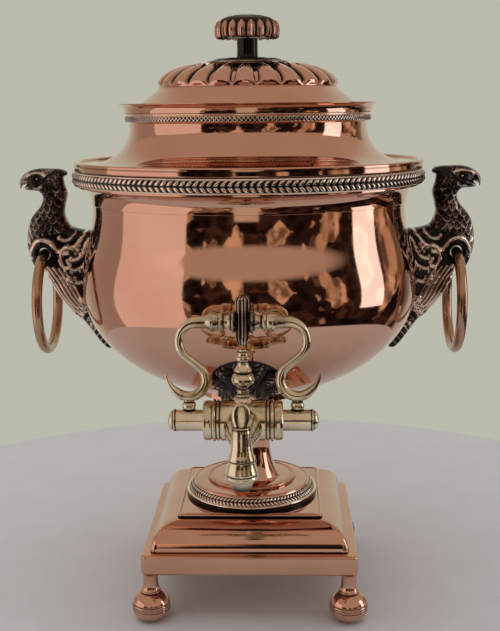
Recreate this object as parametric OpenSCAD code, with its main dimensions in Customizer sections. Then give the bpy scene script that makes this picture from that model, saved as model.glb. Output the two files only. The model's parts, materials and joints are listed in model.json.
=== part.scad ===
// Footed copper tea urn with a domed lid, eagle handles with hanging rings, and a lever tap.
// Millimetres, +Z up. The origin is on the table, under the axis of the bowl.
// The tap faces -Y, and the two handles lie on the X axis.

/* [Feet] */
// Diameter of a ball foot
foot_ball_d = 27.3; // [26:0.1:30]
// Height of a ball foot
foot_ball_h = 21.6; // [20:0.1:25.5]
// Height of the turned neck between a ball foot and the base
foot_neck_h = 13; // [12:0.1:15]
// Diameter of the neck
foot_neck_d = 10.4; // [9:0.1:12]
// Diameter of the neck's flared foot, which sits on the ball
foot_collar_d = 14.6; // [12.5:0.1:16]
// Diameter of the threaded studs that hold the feet
foot_stud_d = 5; // [4:0.1:6]
// Length of a stud inside the foot
foot_stud_grip = 14; // [8:0.5:16]

/* [Base] */
// Width of the square base slab
slab_w = 152; // [146:0.5:165]
// Height of the base slab
slab_h = 14.7; // [12:0.1:20]
// Corner radius of the slab, seen from above
slab_corner_r = 3.6; // [2:0.1:6]
// Radius of the slab's long edges
slab_edge_r = 2.5; // [1:0.1:4]
// Thickness of the sheet copper in the base, the bowl, the shoulder and the lid
sheet = 1.6; // [1.2:0.1:2]
// Diameter of the bosses inside the slab that take the foot studs
boss_d = 9; // [8.5:0.1:11]
// Width of the cushion at its foot
cushion_w = 140; // [132:0.5:145]
// Height of the cushion, which is also the radius of its rounded sides
cushion_h = 19.1; // [17:0.1:21]
// Overhang of the platform past the flat top of the cushion
platform_lip = 1.2; // [0:0.1:2]
// Thickness of the platform
platform_t = 2.6; // [2:0.1:4]

/* [Pedestal] */
// Outer diameter of the pedestal ring
ring_foot_d = 98.4; // [88:0.1:100]
// Height of the straight edge of the pedestal ring
ring_edge_h = 3.5; // [3:0.1:6]
// Height of the sloping band of the pedestal ring
ring_slope_h = 5.5; // [4:0.1:8]
// Width of the sloping band, seen from above
ring_slope_w = 5.8; // [5:0.1:9]
// Radial width of the pedestal ring at its foot
ring_foot_w = 12; // [11:0.1:16]
// Outer diameter of the stepped disc in the middle of the pedestal
step_disc_d = 65.4; // [60:0.1:72]
// Rise of the pedestal disc from its rim to the step
disc_rise = 2.2; // [1:0.1:4]
// Height of the step on the pedestal disc
disc_step_h = 1.6; // [1:0.1:3]
// Height of the turned stem
stem_h = 59; // [50:0.5:75]
// Height of the stem's narrowest place above its foot
stem_waist_h = 28; // [24:0.5:32]
// Diameter of the stem at its narrowest place
stem_waist_d = 28; // [24:0.5:32]
// Diameter of the stem at its two ends
stem_end_d = 43; // [38:0.5:46]
// Diameter of the cup on top of the stem
cup_d = 48; // [46:0.5:56]
// Height of the cup
cup_h = 7; // [5:0.1:10]
// Diameter of the seat ring under the bowl
seat_d = 76; // [64:0.5:90]
// Thickness of the seat ring under the middle of the bowl
seat_t = 0.9; // [0.8:0.1:3]
// Diameter of the tie rod that holds the base, the stem and the bowl together
tie_rod_d = 6; // [5:0.1:8]

/* [Bowl] */
// Largest diameter of the bowl
belly_d = 242.6; // [230:0.5:260]
// Height of the belly above the bottom of the bowl
belly_h = 81.3; // [74:0.1:90]
// Diameter of the bowl's waist under the rim
waist_d = 223.8; // [214:0.5:236]
// Height of the waist above the belly
waist_h = 56; // [50:0.5:64]
// Height of the straight wall above the waist
rim_wall_h = 29.4; // [28:0.1:34]

/* [Rim] */
// Height of the cove moulding under the rim band
cove_h = 13.5; // [11:0.1:14]
// How far the cove moulding stands out from the bowl's wall
cove_out = 9.5; // [7:0.1:11]
// Height of the herringbone band
band_h = 10; // [8:0.1:12]
// Outer diameter of the herringbone band
band_d = 251; // [244:0.5:262]
// Outer diameter of the rolled lip
lip_d = 248.4; // [242:0.5:256]
// Width of the rolled lip
lip_w = 4.5; // [3:0.1:6]
// Height of the rolled lip
lip_h = 6.4; // [5:0.1:8]

/* [Shoulder and neck] */
// Outer diameter of the neck
neck_d = 168.6; // [160:0.5:176]
// Height of the concave shoulder
shoulder_r = 25.4; // [22:0.1:28]
// Width of the flat ring between the concave shoulder and the rolled lip
shoulder_flat_w = 9.95; // [6:0.05:12]
// Height of the straight neck
neck_h = 8.4; // [7:0.1:12]
// Height of the lattice band round the neck
lattice_h = 6.6; // [4:0.1:7]
// Thickness of the lattice band
lattice_t = 3; // [2:0.1:5]
// How far the tip of the flared neck rim stands out past the neck
flare_out = 7.3; // [6:0.1:10]
// Height of the flare above the neck band
flare_h = 6.6; // [5:0.1:9]

/* [Lid] */
// Play between the foot of the lid and the flared rim round it
lid_play = 1.1; // [0.5:0.1:1.6]
// Height of the sloping cove at the foot of the lid
lid_cove_h = 14; // [10:0.1:18]
// Diameter of the lid's lobed dome
dome_d = 126; // [116:0.5:134]
// Height of the dome
dome_h = 14.5; // [11:0.1:20]
// Diameter of the flat top of the dome
dome_flat_d = 62; // [58:0.5:66]
// Depth of the bezel that centres the lid in the neck
bezel_h = 9.6; // [7:0.1:12]
// Diameter of the leafy disc on the dome
leaf_disc_d = 57.6; // [50:0.5:60]
// Height of the leafy disc
leaf_disc_h = 6; // [4:0.1:8]
// Diameter of the knob's stem
knob_stem_d = 15.4; // [12:0.1:20]
// Height of the knob's stem
knob_stem_h = 12.8; // [8:0.1:16]
// Diameter of the knob
knob_d = 45.6; // [40:0.1:52]
// Height of the knob below its widest place
knob_low_h = 5.9; // [4:0.1:8]
// Height of the knob above its widest place
knob_top_h = 10.5; // [8:0.1:14]
// Diameter of the threaded stud through the lid
knob_stud_d = 5; // [4:0.1:6]

/* [Heater] */
// Outer diameter of the heater sleeve
sleeve_d = 60; // [52:0.5:70]
// Wall of the heater sleeve
sleeve_t = 1.2; // [1:0.1:2]
// Height of the sleeve's floor above the bottom of the bowl
sleeve_floor_h = 22; // [20:0.5:30]
// Height of the sleeve's top above the bottom of the bowl
sleeve_top_h = 179; // [165:0.5:182]
// Diameter of the iron slug
slug_d = 48; // [40:0.5:49]
// Height of the iron slug
slug_h = 100; // [80:1:110]

/* [Handles] */
// How far the beak stands out past the belly of the bowl
eagle_reach = 45.4; // [44:0.1:50]
// Height of the eagle from the tip of its tail to its crown
eagle_h = 133; // [128:0.5:138]
// Largest thickness of the eagle's body
eagle_t = 21; // [19:0.5:24]
// Height of the ring hole above the belly of the bowl
ring_hole_z = 22.5; // [20:0.1:25]
// Distance of the ring hole's axis from the belly of the bowl
ring_hole_x = 28.2; // [27:0.1:29]
// Diameter of the ring hole
ring_hole_d = 15; // [14.6:0.1:15.6]
// Outer diameter of a ring handle
ring_d = 78; // [72:0.5:84]
// Thickness of a ring handle
ring_t = 7.5; // [6:0.1:8]
// Diameter of the screws that hold the eagles
eagle_screw_d = 4; // [3:0.1:5]

/* [Tap] */
// Distance of the barrel's axis in front of the bowl's axis
barrel_y = 145; // [142:0.5:150]
// Height of the barrel's axis above the bottom of the bowl
barrel_z = 18.3; // [16:0.1:20]
// Outer diameter of the barrel
barrel_d = 24.8; // [23:0.1:25.4]
// Length of the barrel with its two gland rings
barrel_l = 48.6; // [46:0.1:50]
// Diameter of the plug in the barrel
plug_d = 17; // [15:0.1:18]
// Running clearance round the plug and its pegs, on the radius
plug_fit = 0.05; // [0.02:0.01:0.08]
// Width of a gland ring
gland_w = 5.8; // [4:0.1:7]
// Diameter of the pegs at the ends of the plug
peg_d = 12.8; // [11:0.1:14]
// Distance over the two ends of the pegs
peg_span = 92.6; // [91:0.1:98]
// Diameter of the ball that stands on each peg
yoke_ball_d = 8.4; // [7.4:0.1:9.4]
// Distance of each ball from the middle of the barrel
yoke_ball_x = 33; // [31.5:0.1:35]
// Thickness of the yoke's scrolls
scroll_t = 5; // [4:0.1:5.6]
// Radius of the lower curl of a scroll
low_curl_r = 10.4; // [9.6:0.1:10.6]
// Radius of the upper curl of a scroll
top_curl_r = 12; // [11:0.1:13]
// Height of the yoke's cross-bar above the barrel's axis
crossbar_h = 61.2; // [59:0.1:66]
// Width of the reeded grip
grip_w = 8.4; // [7:0.1:10]
// Height of the reeded grip
grip_h = 29.8; // [26:0.1:34]
// Thickness of the reeded grip
grip_t = 6.4; // [5:0.1:8]
// Downward slope of the tail pipe and the outlet, in degrees
pipe_slope = 11; // [8:0.5:12]
// Outer diameter of the tail pipe
pipe_d = 14; // [12.6:0.1:15]
// Bore of the water way
water_bore_d = 8; // [7:0.1:9]
// Diameter of the leafy flange on the bowl
flange_d = 43; // [38:0.5:46]
// Distance of the spout's axis in front of the barrel's axis
spout_out = 35; // [32:0.1:36]
// Height of the barrel's axis above the tip of the nozzle
spout_drop = 31.2; // [28:0.1:36]
// Height of the crest's top above the barrel's axis
crest_top = 21.3; // [19:0.1:22]
// Width of the crest
crest_w = 10.8; // [9:0.1:12]
// Bore of the spout's nozzle
nozzle_bore_d = 9; // [8:0.1:9.6]
// Height of the turned finial on the barrel
finial_h = 32.2; // [26:0.1:33]

/* [Hidden] */

copper = "#c98468";
pale_brass = "#c9bd9c";
patina = "#4a3a30";
steel = "#8d8d8a";
leather = "#6b4a2f";
iron = "#3b3a38";

round_fn = 128;
small_fn = 48;
curve_steps = 16;
flare_steps = 6;
seam = 0.05;
stud_fit = 0.1;
washer_t = 1.5;
nut_h = 4.5;
over = 1;
lip_below = 3.5;

// Heights of the stacked pieces, from the table up
slab_z = foot_ball_h + foot_neck_h;
slab_top = slab_z + slab_h;
cushion_top = slab_top + cushion_h;
platform_top = cushion_top + platform_t;
ring_foot_top = platform_top + ring_edge_h + ring_slope_h;
disc_top = ring_foot_top + disc_rise + disc_step_h;
stem_top = disc_top + stem_h;
cup_top = stem_top + cup_h;
bowl_z = cup_top + seat_t;
belly_z = bowl_z + belly_h;
waist_z = belly_z + waist_h;
wall_top = waist_z + rim_wall_h;
shoulder_z = wall_top + sheet;
neck_z = shoulder_z + shoulder_r;
flare_z = neck_z + neck_h;
lid_seat_z = flare_z + sheet;
lid_z = lid_seat_z + 0.3;
dome_z = lid_z + lid_cove_h + sheet;
dome_top = dome_z + dome_h;
disc_on_lid_top = dome_top + leaf_disc_h;
knob_z = disc_on_lid_top + knob_stem_h;

// Radii that several pieces share
belly_r = belly_d / 2;
waist_r = waist_d / 2;
neck_r = neck_d / 2;
lip_inner_r = lip_d / 2 - lip_w;
flare_ledge_r = neck_r + 0.8;
lid_foot_r = flare_ledge_r - lid_play;
lid_foot_inner_r = neck_r - 3.8;
ring_foot_r = ring_foot_d / 2;
stud_r = foot_stud_d / 2;
rod_hole_r = tie_rod_d / 2 + 0.2;

// The feet stand where their studs clear the inside corners of the slab
foot_at = slab_w / 2 - sheet - seam - boss_d / 2;

// ---- Shared shapes ----

// A solid turned round the Z axis from an outline of [radius, height] points
module turned(outline) {
    rotate_extrude($fn = round_fn) polygon(outline);
}

// A plain ring round the Z axis
module tube(outer_r, inner_r, z, h, fn = round_fn) {
    translate([0, 0, z]) difference() {
        cylinder(r = outer_r, h = h, $fn = fn);
        translate([0, 0, -over]) cylinder(r = inner_r, h = h + 2 * over, $fn = fn);
    }
}

// Points on a quarter of an ellipse, from angle a to angle b
function arc_points(cx, cz, rx, rz, a, b, steps = curve_steps) =
    [for (i = [0:steps]) let (t = a + (b - a) * i / steps) [cx + rx * cos(t), cz + rz * sin(t)]];

function reversed(list) = [for (i = [len(list) - 1:-1:0]) list[i]];

// A smooth closed curve through hand-set points (Catmull-Rom)
function spline_point(p, i, t) =
    let (n = len(p), a = p[(i + n - 1) % n], b = p[i], c = p[(i + 1) % n], d = p[(i + 2) % n])
    (2 * b + (c - a) * t + (2 * a - 5 * b + 4 * c - d) * t * t + (3 * b - a - 3 * c + d) * t * t * t) / 2;
function smooth_loop(p, steps) =
    [for (i = [0:len(p) - 1]) for (s = [0:steps - 1]) spline_point(p, i, s / steps)];

// A rectangle with rounded corners, centred on the origin
module rounded_rect(w, d, r) {
    square([w - 2 * r, d], center = true);
    square([w, d - 2 * r], center = true);
    for (x = [-1, 1], y = [-1, 1])
        translate([x * (w / 2 - r), y * (d / 2 - r)]) circle(r = r, $fn = small_fn);
}

// A square block whose cross-section along X and along Y is the child outline
module square_moulding(w) {
    intersection() {
        rotate([90, 0, 0]) linear_extrude(w, center = true) children();
        rotate([90, 0, 90]) linear_extrude(w, center = true) children();
    }
}

// Places the children at the four feet
module at_feet() {
    for (x = [-1, 1], y = [-1, 1]) translate([x * foot_at, y * foot_at, 0]) children();
}

module hex_nut(d, z, h) {
    translate([0, 0, z]) difference() {
        cylinder(d = d * 1.9, h = h, $fn = 6);
        translate([0, 0, -over]) cylinder(d = d + 2 * seam, h = h + 2 * over, $fn = small_fn);
    }
}

// ---- Feet and base ----

flared_edge_h = 0.4;

module foot(x, y) {
    flat_r = (foot_ball_d - foot_ball_h) / 2;
    thin_r = foot_neck_d / 2;
    flared_r = foot_collar_d / 2;
    flared_z = foot_ball_h + flared_edge_h;
    flared_h = foot_neck_h / 2;
    color(copper) translate([x * foot_at, y * foot_at, 0]) difference() {
        rotate_extrude($fn = round_fn) {
            square([flat_r, foot_ball_h]);
            intersection() {
                translate([flat_r, foot_ball_h / 2]) circle(d = foot_ball_h, $fn = round_fn);
                square([foot_ball_d, foot_ball_h]);
            }
            polygon(concat(
                [[0, foot_ball_h / 2], [flared_r, foot_ball_h / 2], [flared_r, flared_z]],
                arc_points(flared_r, flared_z + flared_h, flared_r - thin_r, flared_h, 270, 180),
                [[thin_r, slab_z], [0, slab_z]]));
        }
        translate([0, 0, slab_z - foot_stud_grip]) cylinder(r = stud_r + seam, h = slab_h, $fn = small_fn);
    }
}

module foot_front_left() { foot(-1, -1); }
module foot_front_right() { foot(1, -1); }
module foot_back_left() { foot(-1, 1); }
module foot_back_right() { foot(1, 1); }

boss_h = slab_h - 2 * sheet;
stud_in_boss = boss_h - 2;

module foot_studs() {
    stud_l = foot_stud_grip + sheet + stud_in_boss - 0.4;
    color(steel) at_feet() translate([0, 0, slab_z - foot_stud_grip + 0.2])
        cylinder(r = stud_r, h = stud_l, $fn = small_fn);
}

module corner_bosses() {
    color(copper) at_feet() translate([0, 0, slab_z + sheet]) difference() {
        cylinder(d = boss_d, h = boss_h, $fn = small_fn);
        translate([0, 0, -over]) cylinder(r = stud_r + seam, h = stud_in_boss + over, $fn = small_fn);
    }
}

module base_plate() {
    w = slab_w - 2 * sheet - 2 * seam;
    r = slab_corner_r - sheet + seam;
    color(copper) translate([0, 0, slab_z]) difference() {
        linear_extrude(sheet) rounded_rect(w, w, max(r, seam));
        at_feet() translate([0, 0, -over])
            cylinder(r = stud_r + stud_fit, h = sheet + 2 * over, $fn = small_fn);
    }
}

module base_slab() {
    inner_w = slab_w - 2 * sheet;
    color(copper) translate([0, 0, slab_z]) difference() {
        intersection() {
            translate([0, 0, slab_h / 2]) square_moulding(slab_w) rounded_rect(slab_w, slab_h, slab_edge_r);
            linear_extrude(slab_h) rounded_rect(slab_w, slab_w, slab_corner_r);
        }
        translate([0, 0, -over]) linear_extrude(slab_h - sheet + over)
            rounded_rect(inner_w, inner_w, max(slab_corner_r - sheet, seam));
        cylinder(r = rod_hole_r, h = slab_h + over, $fn = small_fn);
    }
}

// Cross-section of the cushion, w wide at its foot, with round sides of radius r
module cushion_section(w, r) {
    intersection() {
        union() {
            translate([-w / 2 + r, 0]) square([w - 2 * r, r]);
            for (s = [-1, 1]) translate([s * (w / 2 - r), 0]) circle(r = r, $fn = round_fn);
        }
        translate([-w, 0]) square([2 * w, r]);
    }
}

module base_cushion() {
    color(copper) translate([0, 0, slab_top]) difference() {
        intersection() {
            square_moulding(cushion_w) cushion_section(cushion_w, cushion_h);
            linear_extrude(cushion_h) rounded_rect(cushion_w, cushion_w, plan_corner_r);
        }
        intersection() {
            translate([0, 0, -seam]) square_moulding(cushion_w)
                cushion_section(cushion_w - 2 * sheet, cushion_h - sheet + seam);
            translate([0, 0, -over]) linear_extrude(cushion_h)
                rounded_rect(cushion_w - 2 * sheet, cushion_w - 2 * sheet, plan_corner_r - sheet);
        }
        cylinder(r = rod_hole_r, h = cushion_h + over, $fn = small_fn);
    }
}

platform_w = cushion_w - 2 * cushion_h + 2 * platform_lip;
plan_corner_r = 4;

module platform() {
    color(copper) translate([0, 0, cushion_top + platform_t / 2]) difference() {
        intersection() {
            square_moulding(platform_w) rounded_rect(platform_w, platform_t, platform_t / 2 - seam);
            linear_extrude(platform_t, center = true) rounded_rect(platform_w, platform_w, plan_corner_r);
        }
        cylinder(r = rod_hole_r, h = platform_t + over, center = true, $fn = small_fn);
    }
}

// ---- Pedestal and stem ----

module pedestal_ring() {
    edge = 0.8;
    top_r = ring_foot_r - ring_slope_w;
    inner_r = ring_foot_r - ring_foot_w;
    edge_z = platform_top + ring_edge_h;
    color(patina) turned([
        [inner_r, platform_top], [ring_foot_r - edge, platform_top], [ring_foot_r, platform_top + edge],
        [ring_foot_r, edge_z - edge], [ring_foot_r - edge, edge_z],
        [top_r, ring_foot_top], [inner_r, ring_foot_top]
    ]);
}

module pedestal_disc() {
    rim_r = ring_foot_r - ring_slope_w;
    step_r = step_disc_d / 2;
    step_z = ring_foot_top + disc_rise;
    color(copper) turned([
        [rod_hole_r, disc_top - sheet], [step_r - sheet, disc_top - sheet], [step_r - sheet, step_z - 0.4],
        [rim_r - sheet, ring_foot_top], [rim_r, ring_foot_top], [rim_r, ring_foot_top + 0.6],
        [step_r, step_z], [step_r, disc_top], [rod_hole_r, disc_top]
    ]);
}

// Radius of the stem at height h above its foot
function stem_r(h) =
    let (up = h > stem_waist_h, s = up ? (h - stem_waist_h) / (stem_h - stem_waist_h) : 1 - h / stem_waist_h)
    stem_waist_d / 2 + (stem_end_d - stem_waist_d) / 2 * pow(s, 2.4);

module stem() {
    wall = 2.4;
    steps = 2 * curve_steps;
    outside = [for (i = [0:steps]) let (h = stem_h * i / steps) [stem_r(h), disc_top + h]];
    inside = [for (i = [0:steps]) let (h = (stem_h - wall) * i / steps) [stem_r(h) - wall, disc_top + h]];
    color(copper) turned(concat(
        outside, [[rod_hole_r, stem_top], [rod_hole_r, stem_top - wall]], reversed(inside)));
}

module stem_cup() {
    bead_r = cup_h * 0.3;
    color(copper) rotate_extrude($fn = round_fn) {
        translate([rod_hole_r, stem_top]) square([cup_d / 2 - bead_r - rod_hole_r, cup_h]);
        translate([cup_d / 2 - bead_r, cup_top - bead_r]) circle(r = bead_r, $fn = small_fn);
    }
}

// Radius of the bowl at height h above its belly
function bowl_r(h) = h < 0
    ? belly_r * sqrt(1 - pow(h / belly_h, 2))
    : waist_r + (belly_r - waist_r) * (1 + cos(180 * h / waist_h)) / 2;

// Outer surface of the bowl, as [radius, height] points from the bottom up, moved inwards by inset
function bowl_points(inset) = concat(
    arc_points(0, belly_z, belly_r - inset, belly_h - inset, -90, 0),
    [for (i = [1:curve_steps]) let (h = waist_h * i / curve_steps) [bowl_r(h) - inset, belly_z + h]]);

// Everything inside the bowl's surface, moved inwards by inset, up to height top
module bowl_body(inset, top) {
    turned(concat(bowl_points(inset), [[waist_r - inset, top], [0, top]]));
}

module bowl_seat_ring() {
    color(copper) difference() {
        tube(seat_d / 2, rod_hole_r, cup_top, belly_h / 4);
        bowl_body(-seam, wall_top);
    }
}

module bowl() {
    color(copper) difference() {
        bowl_body(0, wall_top);
        bowl_body(sheet, wall_top + over);
        translate([0, 0, bowl_z - over]) cylinder(r = rod_hole_r, h = sheet + 2 * over, $fn = small_fn);
        tap_axis() cylinder(r = pipe_d / 2 + stud_fit, h = barrel_y, $fn = small_fn);
        for (h = eagle_screw_heights) translate([0, 0, belly_z + h]) rotate([0, 90, 0])
            cylinder(d = eagle_screw_d + 2 * stud_fit, h = 2 * belly_r, center = true, $fn = small_fn);
    }
}

rod_low_nut_z = slab_top - sheet - washer_t - nut_h;
// Rise of the bowl's inner floor at radius r from its lowest point
function floor_rise(r) = (belly_h - sheet) * (1 - sqrt(1 - pow(r / (belly_r - sheet), 2)));
rod_washer_r = tie_rod_d;
rod_high_washer_z = bowl_z + sheet + floor_rise(rod_washer_r) + 2 * seam;

module tie_rod() {
    low = rod_low_nut_z - 2;
    high = rod_high_washer_z + washer_t + nut_h + 2;
    color(steel) translate([0, 0, low]) cylinder(d = tie_rod_d, h = high - low, $fn = small_fn);
}

module tie_rod_washers() {
    color(steel) {
        tube(tie_rod_d * 1.4, rod_hole_r, slab_top - sheet - washer_t, washer_t, small_fn);
        tube(rod_washer_r, rod_hole_r, rod_high_washer_z, washer_t, small_fn);
    }
}

module tie_rod_nuts() {
    color(steel) {
        hex_nut(tie_rod_d, rod_low_nut_z, nut_h);
        hex_nut(tie_rod_d, rod_high_washer_z + washer_t, nut_h);
    }
}

// ---- Rim, shoulder and neck ----

band_z = wall_top - lip_below - band_h;
lip_z = band_z + band_h;
wall_r = waist_r + seam;

module rim_moulding() {
    z = band_z - cove_h;
    foot_w = 0.7;
    edge_h = 1.5;
    color(copper) turned(concat(
        [[wall_r, band_z], [wall_r, z], [waist_r + foot_w, z]],
        arc_points(waist_r + cove_out, z, cove_out - foot_w, cove_h - edge_h, 180, 90),
        [[waist_r + cove_out, band_z]]));
}

module rim_band() {
    r = band_d / 2;
    edge = 1;
    color(patina) turned([
        [wall_r, band_z], [r - edge, band_z], [r, band_z + edge],
        [r, lip_z - edge], [r - edge, lip_z], [wall_r, lip_z]
    ]);
}

module rim_lip() {
    r = lip_w / 2;
    color(copper) rotate_extrude($fn = round_fn) {
        translate([lip_inner_r, lip_z]) square([lip_w, lip_h - r]);
        translate([lip_d / 2 - r, lip_z + lip_h - r]) circle(r = r, $fn = small_fn);
    }
}

module shoulder() {
    skirt_r = lip_inner_r - seam;
    cove_w = skirt_r - shoulder_flat_w - neck_r;
    cx = neck_r + cove_w;
    color(copper) turned(concat(
        [[skirt_r, wall_top], [skirt_r, shoulder_z]],
        arc_points(cx, neck_z, cove_w, shoulder_r, 270, 180),
        arc_points(cx, neck_z, cove_w + sheet, shoulder_r + sheet, 180, 270)));
}

module neck_rim() {
    tip_r = neck_r + flare_out;
    tip_z = flare_z + flare_h;
    tip_w = 1;
    tip_edge_h = 0.6;
    root_r = neck_r + lattice_t + 0.4;
    inner_r = neck_r - sheet;
    inner_tip_r = tip_r - tip_w;
    inner_w = inner_tip_r - flare_ledge_r;
    color(copper) turned(concat(
        [[inner_r, lid_seat_z], [inner_r, neck_z], [neck_r, neck_z], [neck_r, flare_z], [root_r, flare_z]],
        arc_points(tip_r, flare_z, tip_r - root_r, flare_h - tip_edge_h, 180, 90, flare_steps),
        [[tip_r, tip_z]],
        arc_points(inner_tip_r, lid_seat_z, inner_w, tip_z - lid_seat_z, 90, 180, flare_steps)));
}

module neck_band() {
    color(patina) tube(neck_r + lattice_t, neck_r + seam, flare_z - lattice_h, lattice_h);
}

// ---- Lid ----

// Sloping cove between the lid's foot and its dome, from the dome down
function lid_cove(top_r, foot_r, z, h) = [for (i = [0:cove_steps]) let (s = i / cove_steps)
    [top_r + (foot_r - top_r) * s, z + h * pow(1 - s, 1.35)]];

cove_steps = 8;
dome_step = 0.5;
cove_drop = 0.6;
cove_wall = 1.2;

module lid() {
    dome_r = dome_d / 2;
    flat_r = dome_flat_d / 2;
    rx = dome_r - flat_r;
    cove_z = lid_z + sheet;
    stud_hole_r = knob_stud_d / 2 + stud_fit;
    color(copper) turned(concat(
        [[stud_hole_r, dome_top - sheet], [stud_hole_r, dome_top]],
        arc_points(flat_r, dome_z, rx, dome_h, 90, 0),
        lid_cove(dome_r + dome_step, lid_foot_r, cove_z, lid_cove_h - cove_drop),
        [[lid_foot_r, lid_z], [lid_foot_inner_r, lid_z]],
        reversed(lid_cove(
            dome_r - sheet / 2, lid_foot_inner_r, cove_z, lid_cove_h - cove_drop - cove_wall)),
        arc_points(flat_r, dome_z, rx - sheet, dome_h - sheet, 0, 90)));
}

module lid_bezel() {
    outer_r = neck_r - sheet - 0.4;
    color(copper) tube(outer_r, outer_r - sheet, lid_z - bezel_h, bezel_h);
}

module lid_disc() {
    r = leaf_disc_d / 2;
    hole_r = knob_stud_d / 2 + stud_fit;
    foot_in = 2;
    top_in = 4.2;
    edge_low = dome_top + leaf_disc_h * 0.3;
    edge_high = dome_top + leaf_disc_h * 0.6;
    color(patina) turned([
        [hole_r, dome_top], [r - foot_in, dome_top], [r, edge_low],
        [r, edge_high], [r - top_in, disc_on_lid_top], [hole_r, disc_on_lid_top]
    ]);
}

module knob_stem() {
    color(patina) tube(knob_stem_d / 2, knob_stud_d / 2 + stud_fit, disc_on_lid_top, knob_stem_h, small_fn);
}

knob_stud_top = knob_z + knob_low_h + knob_top_h * 0.4;
knob_nut_z = dome_top - sheet - washer_t - nut_h;

module knob() {
    r = knob_d / 2;
    edge_w = r * 0.2;
    wide_z = knob_z + knob_low_h;
    color(patina) difference() {
        turned(concat(
            [[0, knob_z], [r - edge_w, knob_z]],
            arc_points(r - edge_w, wide_z, edge_w, knob_low_h * 0.8, -60, 0, 5),
            arc_points(0, wide_z, r, knob_top_h, 0, 90)));
        translate([0, 0, knob_z - over])
            cylinder(d = knob_stud_d + 2 * seam, h = knob_stud_top - knob_z + over, $fn = small_fn);
    }
}

module knob_stud() {
    color(steel) translate([0, 0, knob_nut_z - 2])
        cylinder(d = knob_stud_d, h = knob_stud_top - knob_nut_z + 1.8, $fn = small_fn);
}

module knob_washer() {
    color(steel) tube(knob_stud_d * 1.6, knob_stud_d / 2 + stud_fit, knob_nut_z + nut_h, washer_t, small_fn);
}

module knob_nut() {
    color(steel) hex_nut(knob_stud_d, knob_nut_z, nut_h);
}

// ---- Heater ----

sleeve_r = sleeve_d / 2;
sleeve_floor_z = bowl_z + sleeve_floor_h;
sleeve_top = bowl_z + sleeve_top_h;

module heater_sleeve() {
    inner_r = sleeve_r - sleeve_t;
    color(copper) intersection() {
        difference() {
            translate([0, 0, bowl_z]) cylinder(r = sleeve_r, h = sleeve_top_h, $fn = round_fn);
            translate([0, 0, sleeve_floor_z]) cylinder(r = inner_r, h = sleeve_top_h, $fn = round_fn);
            translate([0, 0, bowl_z - over])
                cylinder(r = inner_r, h = sleeve_floor_h - sheet + over, $fn = round_fn);
        }
        bowl_body(sheet + seam, sleeve_top + over);
    }
}

lift_gap = 0.3;
cover_z = sleeve_top + lift_gap;
cover_knob_r = 5.5;

module heater_cover() {
    lip_r = sleeve_r - sleeve_t - 0.5;
    lip_l = 6;
    top_t = sheet + 1;
    overhang = 1.5;
    neck_h = cover_knob_r;
    knob_sink = 2.1;
    color(copper) difference() {
        union() {
            translate([0, 0, cover_z]) cylinder(r = sleeve_r + overhang, h = top_t, $fn = round_fn);
            translate([0, 0, cover_z - lip_l]) cylinder(r = lip_r, h = lip_l + 1, $fn = round_fn);
            translate([0, 0, cover_z + sheet]) cylinder(r = cover_knob_r / 2, h = neck_h, $fn = small_fn);
            translate([0, 0, cover_z + sheet + neck_h + cover_knob_r - knob_sink])
                sphere(r = cover_knob_r, $fn = small_fn);
        }
        translate([0, 0, cover_z - lip_l - over])
            cylinder(r = lip_r - sheet, h = lip_l + over, $fn = round_fn);
    }
}

slug_z = sleeve_floor_z + lift_gap;
eye_hole_depth = 10;
eye_shank_r = 3;

module heater_slug() {
    r = slug_d / 2;
    foot_edge = 2;
    crown_w = 8;
    crown_h = 6;
    color(iron) difference() {
        turned([[0, slug_z], [r - foot_edge, slug_z], [r, slug_z + foot_edge],
            [r, slug_z + slug_h - crown_h], [r - crown_w, slug_z + slug_h], [0, slug_z + slug_h]]);
        translate([0, 0, slug_z + slug_h - eye_hole_depth])
            cylinder(r = eye_shank_r + seam, h = eye_hole_depth + over, $fn = small_fn);
    }
}

module slug_eye() {
    eye_r = 8;
    wire_r = 2.5;
    color(iron) translate([0, 0, slug_z + slug_h]) {
        translate([0, 0, 0.2 - eye_hole_depth])
            cylinder(r = eye_shank_r, h = eye_hole_depth + wire_r, $fn = small_fn);
        translate([0, 0, eye_r + wire_r + 0.3]) rotate([90, 0, 0])
            rotate_extrude($fn = small_fn) translate([eye_r, 0]) circle(r = wire_r, $fn = small_fn);
    }
}

// ---- Handles ----

eagle_top = 82.5;
eagle_beak = 45.5;
eagle_full_h = 133;
eagle_full_t = 21;
eagle_sx = eagle_reach / eagle_beak;
eagle_sz = eagle_h / eagle_full_h;

// Side outline of an eagle: distance past the belly, and height above it, in millimetres
eagle_outline = [
    [-14, 38], [-4.9, 38], [2.4, 39], [8.2, 41], [10.9, 44.4], [12.6, 50], [11.9, 56], [10.1, 64],
    [11.2, 72], [10.5, 79.5], [15.2, 82.3], [22, 82.5], [29.7, 82.3], [37.1, 79.7], [43.7, 76],
    [45.4, 72.5], [43.5, 70.6], [37, 68.3], [29.7, 66.8], [27.9, 61], [30.2, 55.5], [34.1, 51],
    [37.7, 46], [40.4, 38], [41.2, 30], [40.6, 22], [38, 14], [35, 9.6], [27.6, 7.2], [25.8, 1],
    [22.7, -4], [19.2, -10], [14.7, -16], [10.7, -20.5], [7, -25], [2.1, -28.5], [-2.3, -34.5],
    [-7.3, -41.4], [-11.3, -46.8], [-15.6, -50.4], [-20, -49], [-23, -42], [-18, -22], [-14, 10]
];

// Half of the thickness at some heights above the belly, from the tail to the crown
eagle_side = [
    [-51, 2.5], [-44, 5], [-30, 8], [-8, 10], [14, 10.5], [40, 10.5], [58, 8.6], [70, 9.2], [83, 6.5]
];

// Half of the thickness at some distances past the belly, from the bowl to the beak
eagle_plan = [[-24, 10.5], [30, 10.5], [34.5, 8], [40, 4], [46, 1.5]];

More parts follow.
